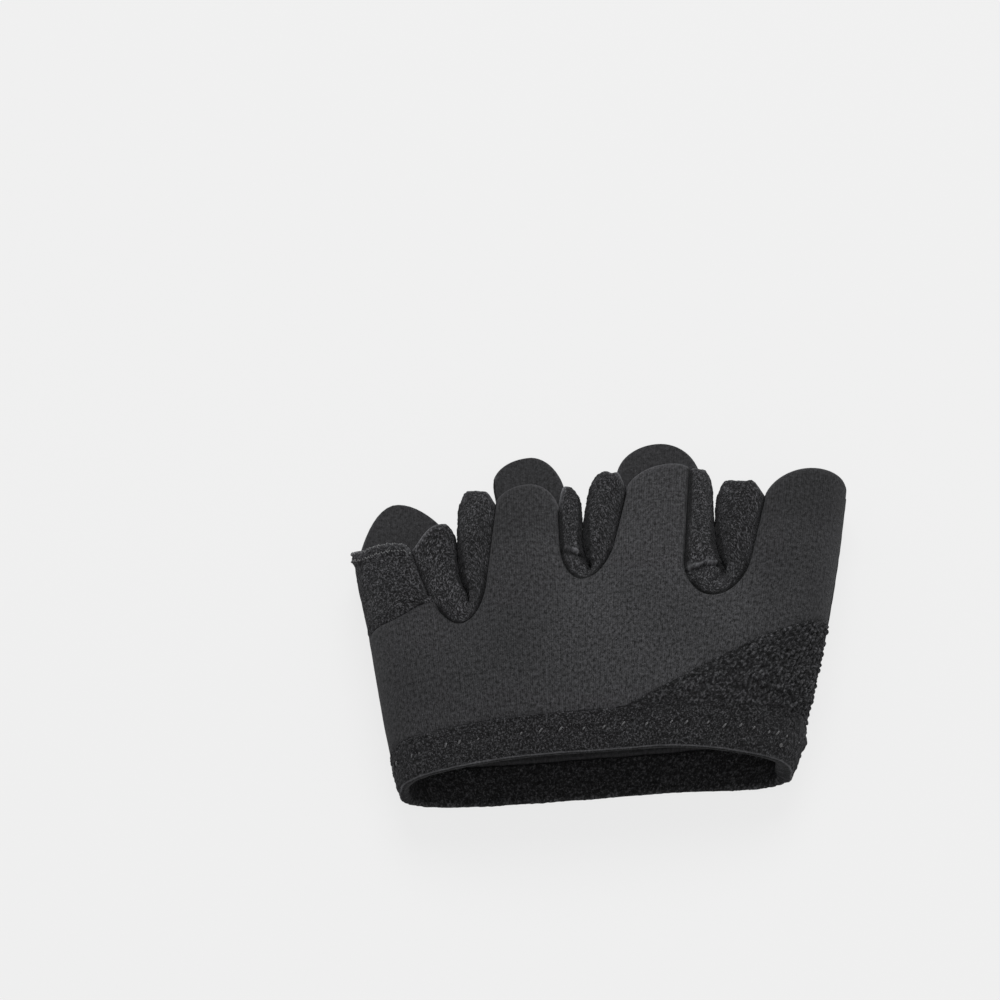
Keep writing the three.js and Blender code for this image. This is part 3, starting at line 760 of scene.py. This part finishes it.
def painted_side_shade(a, b, points):
    """Painted shade: the back is a little darker towards both sides, which slope away from the light, and on
    its outer lobes, which tilt down towards their ends.
    """
    x, y, _ = points.T
    lobes = 0.15 * smooth((y - 44) / 8) * (1 - bell(x - 12, 9))
    return 0.24 * smooth((-x - 4) / 14) + 0.27 * smooth((x - 26) / 10) + lobes, 0 * x


def back_seam_shade(a, b, points):
    """How far from the gaps between the fingers the back gets painted shade: most on their left and at their
    feet.
    """
    x, y, _ = points.T
    wide = 0.1 + 0 * x
    for k, slot in enumerate(SLOTS["back"]):
        off = x - slot_centre(k, "back", np.maximum(y, slot["y"]))
        near = smooth((y - slot["y"] + 4) / 2) * (np.abs(off) < 12)
        wide = np.maximum(wide, near * (0.3 + 0.35 * smooth((2.5 - off) / 3.0)))
    return wide * (0.75 + 0.5 * grain(points, 1.5))


def make_back():
    def lower(p):
        return np.maximum(CUFF_SEAM, gusset_top(p)) - PRESS / 2

    nets = body_nets("back", lower, columns=34, rows=60)
    nets.append(finger_net(0, "back", columns=34, rows=14, end=lambda c: patch_seam(c) + PRESS / 2))
    nets += [finger_net(finger, "back", columns=34, rows=48) for finger in (1, 2, 3)]
    piece = shell("back_of_hand", nets, back_skin, KNIT, [back_cloth, lining],
                  partial(cloth, "back", 0), is_free=lobe_test("back", (1, 2, 3)), relief=creases,
                  seam=(0.9, 0.8, 0.5, 1.3), soften=flat_seams, shade=painted_side_shade, groove=(back_seam_shade, 0.3))
    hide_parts("back_panel")


def nubby(height, size, shift=0.0):
    def relief(a, b, points):
        coarse = grain(points + shift, size) - 0.5
        return height * coarse + height * 0.6 * (grain(points + 9, size / 2) - 0.5)
    return relief


def make_patch():
    nets = [finger_net(0, "back", columns=90, rows=80, start=lambda c: patch_seam(c) - PRESS / 2,
                       end=lambda c: lobe_end(0, "back", c) + 0.5)]
    bumps = nubby(0.30, 0.62)

    def relief(a, b, points):
        to_end = lobe_end(0, "back", np.clip(finger_share(0, "back", a, b), 0, 1)) - b
        hem = 0.35 * smooth((3.0 - to_end) / 0.5)
        from_seam = b - patch_level(points[:, 0])
        pucker = -0.25 * bell(from_seam - 1.2, 0.5) * (0.5 + 0.5 * np.sin(arc("back", a) * 3.2))
        return bumps(a, b, points) + hem + pucker

    def soften(points):
        return 0.2 + 0.8 * smooth((points[:, 1] - patch_level(points[:, 0]) - 1.0) / 1.5)

    piece = shell("little_finger_patch", nets, back_skin, KNIT, [coarse_cloth, lining],
                  partial(cloth, "back", 0), is_free=lobe_test("back", (0,)), relief=relief,
                  seam=(1.1, 0.75, 1.1, 1.8), groove=(0.2, 0.7),
                  shade=lambda a, b, points: (0.15, 0), soften=soften)
    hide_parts("little_finger_patch")


def grains(p, v):
    """Uneven grains in staggered leaning columns on the back, from 0 in the pores to 1 on their tops."""
    pitch_u, pitch_v = 1.05, 1.42
    lean = arc("back", p) - 0.28 * v
    best = 0 * lean
    for step, hop in np.ndindex(3, 3):
        column = np.round(lean / pitch_u).astype(int) + step - 1
        row = np.round(v / pitch_v - 0.5 * (column % 2)).astype(int) + hop - 1
        shift_u, shift_v, size = LATTICE[column % len(LATTICE), row % len(LATTICE), :3].T
        off_u = lean - (column + 0.5 * (shift_u - 0.5)) * pitch_u
        off_v = v - (row + 0.5 * (column % 2) + 0.5 * (shift_v - 0.5)) * pitch_v
        q = 1 - (off_u / (0.32 + 0.22 * size)) ** 2 - (off_v / (0.48 + 0.34 * size)) ** 2
        best = np.maximum(best, (0.55 + 0.45 * size) * np.sqrt(np.maximum(q, 0)))
    return best


def make_gusset():
    columns, rows = 250, 118
    start = across(GUSSET["start"], CUFF_SEAM)
    p = start + (1 - start) * np.linspace(0, 1, columns + 1)[:, None]
    top = np.maximum(gusset_top(p), CUFF_SEAM + 0.1) + PRESS / 2
    t = np.linspace(0, 1, rows + 1)
    t = t + 0.02 * np.sin(math.tau * t)
    y = CUFF_SEAM - PRESS / 2 + (top - CUFF_SEAM + PRESS / 2) * t
    nets = [(p + 0 * y, y)]

    def relief(a, b, points):
        tall = 0.34 + 0.3 * smooth((points[:, 0] - 22) / 18)
        return tall * grains(a, b) - 0.1 + 0.22 * (grain(points, 0.8) - 0.5)

    def shade(a, b, points):
        """Painted shade in the pores between the grains, and a little darker towards the cuff."""
        pores = 0.5 * (1 - smooth(grains(a, b) / 0.6)) * (0.6 + 0.8 * grain(points, 2.5))
        return np.maximum(pores, 0.2 * smooth((CUFF_SEAM + 6.0 - b) / 5.0)), 0

    piece = shell("index_gusset", nets, back_skin, KNIT, [mesh_cloth, lining],
                  partial(cloth, "back", 0), relief=relief, seam=(0.4, 0.3, 0.0, 0.8), groove=(0.0, 0.01),
                  shade=shade, fade=0.1, soften=lambda points: smooth((points[:, 1] - CUFF_SEAM - 0.8) / 1.0))
    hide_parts("mesh_gusset")


def make_palm():
    nets = body_nets("palm", lambda p: 0 * p + CUFF_SEAM - PRESS / 2, columns=30, rows=56)
    nets += [finger_net(finger, "palm", columns=30, rows=56) for finger in range(4)]

    def relief(a, b, points):
        folds = creases(a, b, points, PALM_CREASES)
        return folds + 0.10 * (grain(points, 1.6) - 0.5) - 0.55 * bell(pad_inside(points), 0.8)

    piece = shell("palm_suede", nets, palm_skin, SUEDE, [suede, lining],
                  partial(cloth, "palm", 50), is_free=lobe_test("palm", (0, 1, 2, 3)), sign=-1, relief=relief,
                  seam=(1.2, 0.7, 0.8, 2.0), free=(0.45, 0.5), inner_width=0.5,
                  soften=lambda points: 0.15 + 0.85 * smooth((points[:, 1] - CUFF_SEAM - 1.0) / 2.0))
    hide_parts("palm_panel")


def mesh_end(points, a, b):
    """The top of the cuff below the gusset, where the gusset's grains run out."""
    return smooth((points[:, 0] - 3.0) / 4.0) * smooth((b - CUFF_SEAM + 1.6) / 1.2) * (np.abs(a) <= 1)


def make_cuff():
    turns, rows = 520, 40
    p = -1 + 4 * (np.arange(turns + 1) % turns)[:, None] / turns
    rim = rim_level(cuff_skin(p, 0 * p + RIM)[..., 0])
    y = rim + (CUFF_SEAM + PRESS / 2 - rim) * crowded(rows)
    nets = [(p + 0 * y, y)]
    bumps = nubby(0.42, 0.75, 5.0)

    def under(a, width):
        """1 under the palm, from that width beyond the side seams on."""
        return smooth(np.minimum(a - 1, 3 - a) / width)

    def thickness(a):
        """Thinner under the palm, and rolled thick at the index side."""
        return CUFF - 0.7 * under(a, 0.5) + 1.6 * bell(a - 1, 0.2)

    def shade(a, b, points):
        """A thin light line along the rim of the back, painted shade on the rim's face below it, a darker rim
        under the palm, and a little darker tone below the gusset.
        """
        up = b - rim_level(points[:, 0])
        palm = under(a, 0.2)
        line = bell(up - 0.27, 0.09) * (0.6 + 0.6 * grain(points, 1.1))
        # Painted shade on the rim's face, just below the light line
        painted_rim_face_shade = 0.8 * (1 - smooth((up - 0.08) / 0.08)) * (1 - palm)
        palm_rim = np.maximum(0.6, 0.75 * np.clip(1 - up / 1.6, 0, 1)) * palm
        below_mesh = 0.15 * mesh_end(points, a, b)
        return np.maximum(np.maximum(palm_rim, painted_rim_face_shade), below_mesh), line * (1 - palm)

    def inside_shade(a, b, points):
        """Painted shade inside the cuff: dark along the side seams, and behind the rim of the back."""
        side = np.minimum(np.abs(a - 1), np.abs(np.abs(a - 1) - 2))
        up = b - rim_level(points[:, 0])
        face = 0.85 * (1 - smooth((up - 1.2) / 0.8)) * smooth((0.9 - np.abs(a)) / 0.15)
        return np.maximum(0.75 * bell(side, 0.3) * smooth((up - 0.3) / 0.8), face)

    def flat(a, b):
        round_hand = np.where(a <= 1, arc("back", np.minimum(a, 1)), 60 - arc("palm", 2 - np.maximum(a, 1)))
        return np.stack([round_hand, b, 0 * a + 20], -1)

    def relief(a, b, points):
        t = (b - RIM) / (CUFF_SEAM - RIM)
        belly = 0.25 * np.sin(math.pi * np.clip(t, 0, 1)) ** 0.8
        row = -0.2 * bell(b - CUFF_SEAM + CUFF_ROW, 0.4)
        waves = 0.5 * (grain(points * [1, 0.3, 1] + 7, 4.5) - 0.5)
        bead = 0.55 * bell(b - CUFF_SEAM + 0.5, 0.4) * (grain(points + 31, 0.8) - 0.35)
        knot = 0.9 * bell(a - 1.0, 0.04) * bell(b - 3.0, 1.1)
        end = mesh_end(points, a, b)
        mesh = end * (0.34 * grains(np.minimum(a, 1), b) - 0.1)
        return bumps(a, b, points) + belly + row + waves + bead * (1 - end) + knot + mesh

    def soften(points):
        return 1 - 0.95 * smooth((points[:, 0] - 3.0) / 4.0) * (points[:, 2] > 9)

    piece = shell("cuff", nets, cuff_skin, thickness, [hem_cloth, inside_cloth], flat,
                  is_free=lambda places: places[:, 1].mean() < 0, relief=relief, closed=True,
                  seam=(0.5, 0.3, 0.1, 0.8), free=(0.6, 0.4), inner_width=0.8, groove=(0.0, 0.01),
                  shade=shade, light=0, calm=0.05, inner_relief=0.6, inside_shade=inside_shade, fade=0.1,
                  soften=soften)
    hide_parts("cuff_band")


# Strips between the fingers

def strip_surface(k, p, h):
    """Strip between two fingers: p from the left finger's end to the right one's, h from palm to back."""
    slit = SLITS[k]
    leg = np.where(p < 0, -1, 1)
    up = np.abs(p)
    arch = np.sin(np.pi * h)
    swell = arch ** WEB["fullness"]
    tuck = 1.1 * (1 - arch) ** 2

    def of_leg(pair):
        return np.where(leg < 0, *pair)

    def edge(side):
        slot = SLOTS[side][k]
        feet = np.minimum((LOBES[side][k][2], LOBES[side][k + 1][0]), np.add(slit["ends"], 1.5))
        y = slot["y"] + (of_leg(feet) - slot["y"]) * up
        turn = np.minimum((y - slot["y"]) / slot["round"], 1)
        place = skin(side, across(slot_edge(k, side, y, leg), y), y)
        place[..., 0] += tuck * leg * np.sqrt(1 - (1 - turn) ** 2)
        place[..., 1] -= tuck * (1 - turn)
        return place

    back = edge("back")
    palm = edge("palm")
    back[..., 2] += 0.95 * tuck - 1.8
    palm[..., 2] += 1.5 - 0.4 * tuck
    x, _, z = np.moveaxis(palm + (back - palm) * h[..., None], -1, 0)
    reach = slit["foot"] + (of_leg(slit["ends"]) - slit["foot"]) * up
    high = 1 - np.abs(2 * h - 1) ** (2 + of_leg(slit["square"]) * up)
    y = np.where(h > 0.5, back[..., 1] + (reach - back[..., 1]) * high,
                 palm[..., 1] + (reach - palm[..., 1]) * smooth(2 * h))
    end = smooth((up - WEB["corner"]) / (1 - WEB["corner"])) ** 2
    y = y - 1.1 * end * swell ** 30
    y = y + of_leg(slit["full"]) * end * smooth((swell - 0.6) / 0.25)
    y = y - of_leg(slit["low"]) * end * bell(swell - 0.4, 0.15)
    bend = slit["bend"] * np.exp(np.minimum(0, slit["foot"] - y) / slit["over"])
    middle = slit["x"] + slit["lean"] * (y - SLIT_Y) + bend
    part = slit["part"] * up ** 4 + 0.6 * end - 0.1 * smooth((0.7 - up) / 0.2)
    x = x + (middle + leg * part * np.minimum(1, up / 0.03) - x) * swell
    z = z + WEB["lift"] * swell * np.sin(np.pi / 2 * h)
    return np.stack([x, y, z], -1)


def make_strip(k):
    t = np.linspace(-1, 1, 181)
    p = np.sign(t) * np.abs(t) ** 1.5
    h = np.linspace(0, 1, 61)
    h = np.clip(h - 0.03 * np.sin(math.tau * h), 0, 1)
    nets = [(p[:, None] + 0 * h, h + 0 * p[:, None])]
    length = lengths(strip_surface(k, p, 0 * p + 0.8))
    height = lengths(strip_surface(k, 0 * h + 0.6, h))
    bumps = nubby(0.34, 0.62, 3.0 * k)

    def flat(a, b):
        return np.stack([np.interp(a, p, length), np.interp(b, h, height), 0 * a + 90 + 9 * k], -1)

    def fold(a, points):
        """How far above the fold across the left leg."""
        if k not in FOLDS:
            return 0 * a + 9
        (x0, y0), (x1, y1) = FOLDS[k]
        line = y0 + (y1 - y0) / (x1 - x0) * (points[:, 0] - x0)
        return np.where(a < 0, points[:, 1] - line + 0.5 * (grain(points, 1.2) - 0.5), 9)

    def relief(a, b, points):
        over = fold(a, points)
        step = -1.0 * (1 - smooth((over + 0.2) / 0.4)) * np.exp(np.minimum(over, 0) / 3.0)
        step = step * (b > 0.5) * (1 - smooth((np.sin(np.pi * b) - 0.6) / 0.35))
        pucker = 0.5 * (grain(points, 1.1) - 0.5) * bell(a, 0.10)
        return bumps(a, b, points) + step + pucker

    def shade(a, b, points):
        """Painted shade in the slit, below the fold, in the trough on the palm's side and a bit on the right
        legs; a painted highlight on the fold.
        """
        up = np.abs(a)
        swell = np.sin(np.pi * b) ** WEB["fullness"]
        wide = SLITS[k]["dark"] - 0.16 * smooth((0.7 - up) / 0.5)
        dark = smooth((swell - wide) / 0.07) * smooth((0.97 - up) / 0.12) * smooth(up / 0.03)
        from_palm = np.interp(b, h, height)
        trough = 0.85 * smooth((from_palm - 1.8) / 1.2) * (1 - smooth((up - 0.6) / 0.35)) * (b < 0.5)
        over = fold(a, points)
        inwards = smooth((height[-1] - from_palm - 1.8) / 2.0)
        below = 0.9 * bell(over + 0.4, 0.35) * inwards
        painted_fold_highlight = 1.3 * bell(over - 0.3, 0.3) * grain(points + 5, 0.7) * (0.3 + 0.7 * inwards)
        # Painted shade on the right legs, more on the strips towards the index
        right = 0.07 * (1 + k) * smooth(a / 0.2)
        dark = np.maximum(np.maximum(np.maximum(dark, below) * (b > 0.45), trough), right)
        return dark, painted_fold_highlight * (b > 0.45)

    def strip_seam_shade(a, b, points):
        """How far from its seams the strip gets painted shade: most along the back, on its left and at its
        foot.
        """
        left = smooth((0.45 - a) / 0.3) * (b > 0.5)
        return 0.98 + 0.36 * left + 0.1 * bell(a, 0.15) * (b > 0.5)

    piece = shell(f"finger_strip_{GAPS[k]}", nets, lambda a, b: strip_surface(k, a, np.clip(b, 0, 1)), STRIP,
                  [coarse_cloth, lining], flat, relief=relief, sign=-1, shade=shade, light=0.3,
                  is_free=lambda places: abs(places[:, 0].mean()) > 0.999, seam=(0.8, 0.5, 0.0, 1.0),
                  free=(0.8, 0.5), groove=(strip_seam_shade, 0.2))
    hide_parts(f"fourchette_{GAPS[k]}")


# Palm pad and grips

def between(t, low, high, a, b):
    """From a where t is low to b where it is high."""
    return (high - t) / (high - low) * a + (t - low) / (high - low) * b


def pad_loop(inwards, count):
    """Points of the pad's outline, at even steps, drawn in by so much all round."""
    curve = []
    for i in range(len(PAD_OUTLINE)):
        a, b, c, d = np.roll(PAD_OUTLINE, 1 - i, axis=0)[:4]
        t0, t1, t2, t3 = np.append(0, np.cumsum(np.linalg.norm([b - a, c - b, d - c], axis=1) ** 0.5))
        t = np.linspace(t1, t2, 40, endpoint=False)[:, None]
        middle = between(t, t1, t2, b, c)
        first = between(t, t0, t2, between(t, t0, t1, a, b), middle)
        second = between(t, t1, t3, middle, between(t, t2, t3, c, d))
        curve.append(between(t, t1, t2, first, second))
    curve = np.concatenate(curve + [curve[0][:1]])
    length = lengths(curve)
    at = np.linspace(0, length[-1], count, endpoint=False)
    even = np.column_stack([np.interp(at, length, values) for values in curve.T])
    way = unit(np.roll(even, -1, axis=0) - np.roll(even, 1, axis=0))
    return even + inwards * np.column_stack([-way[:, 1], way[:, 0]])


def palm_height(x, y):
    return palm_skin(across(x, y), y)[..., 2]


def pad_inside(points):
    """Distance from the pad's outline, seen from below."""
    outline = np.pad(pad_loop(0, 400), ((0, 0), (0, 1)))
    return distances(points * [1, 1, 0], np.stack([outline, np.roll(outline, -1, axis=0)], 1))


def pad_low(x, y, inside):
    """Height of the pad's underside, which is rolled up at its edge."""
    ceiling = palm_height(x, y) + PAD_EDGE
    full = (1 - (1 - np.clip(inside / PAD_ROLL, 0, 1)) ** 3) ** (1 / 3)
    return ceiling + (PAD_FLOOR - ceiling) * full


def make_pad():
    turns = 300
    rolled = PAD_ROLL * (1 - np.cos(np.linspace(0, np.pi / 2, 14)))
    shares = np.linspace(1, 0.06, 26)[1:]
    flat_ring = pad_loop(PAD_ROLL, turns)
    rings = [pad_loop(inside, turns) for inside in rolled]
    rings += [PAD_CENTRE + (flat_ring - PAD_CENTRE) * share for share in shares]
    above, below = [], []
    for ring, inside in zip(rings, [*rolled, *[PAD_ROLL] * len(shares)]):
        uneven = 0.10 * (grain(np.pad(ring, ((0, 0), (0, 1))), 3.0) - 0.5) * inside / PAD_ROLL
        below.append(np.column_stack([ring, pad_low(*ring.T, inside) + uneven]))
        above.append(np.column_stack([ring, palm_height(*ring.T) + PAD_TOP]))
    loops = above[:0:-1] + below
    ends = [[*PAD_CENTRE, palm_height(*PAD_CENTRE) + PAD_TOP], [*PAD_CENTRE, PAD_FLOOR]]
    points = np.concatenate([*loops, ends])
    faces = [[a, d, c, b] for a, b, c, d in belt(0, len(loops), turns)]
    top, bottom = len(points) - 2, len(points) - 1
    last = (len(loops) - 1) * turns
    for i in range(turns):
        j = (i + 1) % turns
        faces += [[top, i, j], [bottom, last + j, last + i]]
    piece = new_object("palm_pad", points, faces, [pad_suede], flat=points)
    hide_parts("palm_pad")


def wall(bm, low, high):
    """Faces between two loops of corners."""
    for k in range(len(low)):
        after = (k + 1) % len(low)
        bm.faces.new([low[k], low[after], high[after], high[k]])


def make_honeycomb():
    """Rounded lines on the pad round six-sided cells, cut off at the pad's edge, which they follow."""
    pitch, line = HONEYCOMB["pitch"], HONEYCOMB["line"]
    parts = 4
    corners = np.array([[math.sin(math.tau * k / 6), math.cos(math.tau * k / 6)] for k in range(7)])
    corners = np.array([corners[k] + (corners[k + 1] - corners[k]) * i / parts
                        for k in range(6) for i in range(parts)])
    bm = bmesh.new()
    for row in range(-HONEYCOMB["rows"], HONEYCOMB["rows"] + 1):
        for i in range(-HONEYCOMB["cells"], HONEYCOMB["cells"] + 1):
            centre = PAD_CENTRE + [(i + (row % 2) / 2) * pitch, row * pitch * math.sqrt(3) / 2]
            rings = []
            for share, z in LINE_SECTION:
                cell = centre + corners * (pitch - share * line) / math.sqrt(3)
                rings.append([bm.verts.new((*q, z)) for q in cell])
            for low, high in zip(rings, rings[1:]):
                wall(bm, low, high)
    bmesh.ops.remove_doubles(bm, verts=bm.verts, dist=0.02)
    prism = bmesh.new()
    outline = pad_loop(HONEYCOMB["inset"], 160)
    low, high = ([prism.verts.new((*q, z)) for q in outline] for z in (-1, 3))
    prism.faces.new(low[::-1])
    prism.faces.new(high)
    wall(prism, low, high)
    objects = []
    for name, source in (("honeycomb_lines", bm), ("honeycomb_cutter", prism)):
        bmesh.ops.recalc_face_normals(source, faces=source.faces)
        mesh = bpy.data.meshes.new(name)
        source.to_mesh(mesh)
        source.free()
        objects.append(linked(name, mesh))
    lattice, cutter = objects
    cut = lattice.modifiers.new("cut", "BOOLEAN")
    cut.operation = "INTERSECT"
    cut.solver = "EXACT"
    cut.object = cutter
    bpy.context.view_layer.update()
    result = lattice.evaluated_get(bpy.context.evaluated_depsgraph_get()).to_mesh()
    points = np.array([v.co[:] for v in result.vertices])
    faces = [list(face.vertices) for face in result.polygons]
    inside = np.minimum(pad_inside(points), PAD_ROLL)
    points[:, 2] += pad_low(points[:, 0], points[:, 1], inside) - PAD_FLOOR
    bpy.data.objects.remove(lattice)
    bpy.data.objects.remove(cutter)
    piece = new_object("honeycomb_grip", points, faces, [grip], flat=points)
    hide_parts("honeycomb_grip")


def make_waves(name):
    """The stack of wavy lines on one finger, laid on the palm's skin."""
    x0, y0, half_width, reach = WAVES[name]
    steps, sides = 44, 10
    turn = np.linspace(-1, 1, steps + 1)[:, None]
    place = np.sign(turn) * (1 - (1 - np.abs(turn)) ** 1.2)
    angle = math.tau * np.arange(sides) / sides
    points, faces = [], []
    for row in range(WAVE["lines"]):
        height = 2 * row / (WAVE["lines"] - 1) - 1
        half = half_width * math.sqrt(1 - (WAVE["narrowing"] * height) ** 2)
        over = np.maximum(0, np.abs(place) * half - (half - WAVE["cap"]))
        cap = np.sqrt(np.maximum(0, 1 - (over / (WAVE["cap"] + 0.01)) ** 2))
        dx = half * place
        crest = WAVE["peak"] / 2 * np.cos(math.pi * dx / (WAVE["turn"] * half_width))
        y = y0 + reach * height + crest + WAVE["thick"] / 2 * np.cos(angle) * cap
        lift = -WAVE["tall"] / 2 * np.sin(angle) * cap
        points.append(np.stack([x0 + dx + 0 * y, y, lift], -1).reshape(-1, 3))
        faces += tube(row * y.size, steps + 1, sides)
    points = np.concatenate(points)
    x, y, lift = points.T
    p = across(x, y)
    placed = palm_skin(p, y) + normals(palm_skin, p, y) * (lift + 0.02)[:, None]
    piece = new_object(f"grip_waves_{name}", placed, faces, [grip], flat=points)
    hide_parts(*[f"grip_line_{name}_{row + 1}" for row in range(WAVE["lines"])])


def threads(name, stitches, radius, material):
    """Round-ended stitches, each along a short line of points."""
    points, faces, flat = [], [], []
    sides = 6
    for number, path in enumerate(stitches):
        ahead = unit(np.gradient(path, axis=0))
        side = unit(np.cross(ahead, np.array([0.13, 0.21, 1.0])))
        up = np.cross(side, ahead)
        faces += tube(len(points), len(path), sides)
        for i, s in np.ndindex(len(path), sides):
            size = radius * (0.35 if i in (0, len(path) - 1) else 1.0)
            angle = math.tau * s / sides
            points.append(path[i] + size * (math.cos(angle) * side[i] + math.sin(angle) * up[i]))
            flat.append((i * 0.6, s * 0.3, number * 1.7))
    new_object(name, points, faces, [material], flat=flat)


def make_cuff_stitches():
    """Short slanted stitches across the back of the cuff; near the little finger most have sunk in."""
    stitches = []
    count = 31
    for i in range(count):
        p = -1 + 2.1 * (i + 0.35 * dice.random()) / count
        y = CUFF_SEAM - CUFF_ROW + 0.6 * (dice.random() - 0.5)
        y += 0.8 * slanted(0, RIM_RISE, cuff_skin(np.array(p), np.array(y))[0])
        t = np.linspace(-1, 1, 5)
        long = 0.25 + 0.3 * dice.random()
        sunk = 0.45 if -0.95 < p < -0.3 and dice.random() < 0.7 else 0
        a = p + 0.012 * long * t
        b = y + long * t
        lift = 0.30 * np.sqrt(np.maximum(0, 1 - (0.95 * t) ** 2)) + 0.16 - 0.22 * dice.random() - sunk
        stitches.append(cuff_skin(a, b) + normals(cuff_skin, a, b) * lift[:, None])
    turn = np.linspace(0, 2.4 * math.tau, 20)
    knot = cuff_skin(0.74 + 0.006 * np.cos(turn), -1.1 + 0.25 * np.sin(turn))
    stitches.append(knot + np.stack([0.1 + 0 * turn, 0 * turn, 0.40 + 0.015 * turn], -1))
    threads("cuff_stitches", stitches, radius=0.17, material=soft_thread)


def make_patch_stitches():
    """Two rows of zigzag along the patch's hem."""
    stitches = []
    count = 34
    for inside, i in ((inside, i) for inside in (0.5, 2.3) for i in range(count)):
        c = (i + 0.3 * dice.random() + np.linspace(0, 0.45 + 0.4 * dice.random(), 5)) / count * 0.95 + 0.02
        zigzag = (0.1 + 0.45 * dice.random()) * (1 if i % 2 else -1) * np.linspace(-1, 1, 5)
        y = lobe_end(0, "back", c) + 0.3 - inside + zigzag + 0.3 * (dice.random() - 0.5)
        p = finger_place(0, "back", c, y)
        lift = 0.40 - 0.30 * dice.random() + 0.12 * np.sin(np.linspace(0, np.pi, 5))
        way = normals(back_skin, np.clip(p, -0.997, 0.997), y)
        stitches.append(back_skin(p, y) + way * lift[:, None])
    threads("patch_hem_stitches", stitches, radius=0.12, material=pale_thread)


make_back()
make_patch()
make_gusset()
make_palm()
make_cuff()
for gap in range(3):
    make_strip(gap)
make_pad()
make_honeycomb()
for finger_name in WAVES:
    make_waves(finger_name)
make_cuff_stitches()
make_patch_stitches()


# Floor, light and camera

def make_floor():
    mesh = bpy.data.meshes.new("floor")
    size = 3.0
    corners = [(-size, -size, 0), (size, -size, 0), (size, size, 0), (-size, size, 0)]
    mesh.from_pydata(corners, [], [(0, 1, 2, 3)])
    paint = Finish("pale_floor", Base_Color=(0.06, 0.06, 0.06, 1), Roughness=1.0, Specular_IOR_Level=0.0,
                   Emission_Color=(1, 1, 1, 1), Emission_Strength=0.775)
    mesh.materials.append(paint.material)
    floor = linked("floor", mesh)


def make_light(name, place, size, watts):
    """A round lamp that shines on the glove."""
    data = bpy.data.lights.new(name, "AREA")
    data.shape = "DISK"
    data.size = size
    data.energy = watts
    light = linked(name, data)
    light.location = place
    light.rotation_euler = (Vector((0, 0, 0.01)) - Vector(place)).to_track_quat("-Z", "Y").to_euler()


def make_camera():
    """Looks along the hand from the wrist, from above; the glove appears rolled a little anticlockwise."""
    elevation, roll, distance = math.radians(62), math.radians(4.5), 0.700
    back = Vector((0, -math.cos(elevation), math.sin(elevation)))
    data = bpy.data.cameras.new("camera")
    data.sensor_width = SENSOR
    data.lens = SENSOR * SCALE * distance / MM / PHOTO
    data.shift_x = (PHOTO / 2 - AIM_PIXEL[0]) / PHOTO
    data.shift_y = (AIM_PIXEL[1] - PHOTO / 2) / PHOTO
    data.clip_end = 20
    camera = linked("camera", data)
    camera.location = Vector((AIM - MIDDLE) * MM) + back * distance
    turn = back.to_track_quat("Z", "Y").to_matrix() @ Matrix.Rotation(-roll, 3, "Z")
    camera.rotation_euler = turn.to_euler()
    bpy.context.scene.camera = camera


make_floor()
make_light("key", (0.10, 0.55, 0.95), size=0.7, watts=11.0)
make_light("fill", (0.3, -0.7, 0.8), size=1.0, watts=3.0)
world = bpy.data.worlds.new("studio")
world.use_nodes = True
background = world.node_tree.nodes["Background"]
background.inputs["Color"].default_value = (0.87, 0.87, 0.87, 1)
background.inputs["Strength"].default_value = 0.8
bpy.context.scene.world = world
bpy.context.scene.view_settings.view_transform = "Standard"
make_camera()
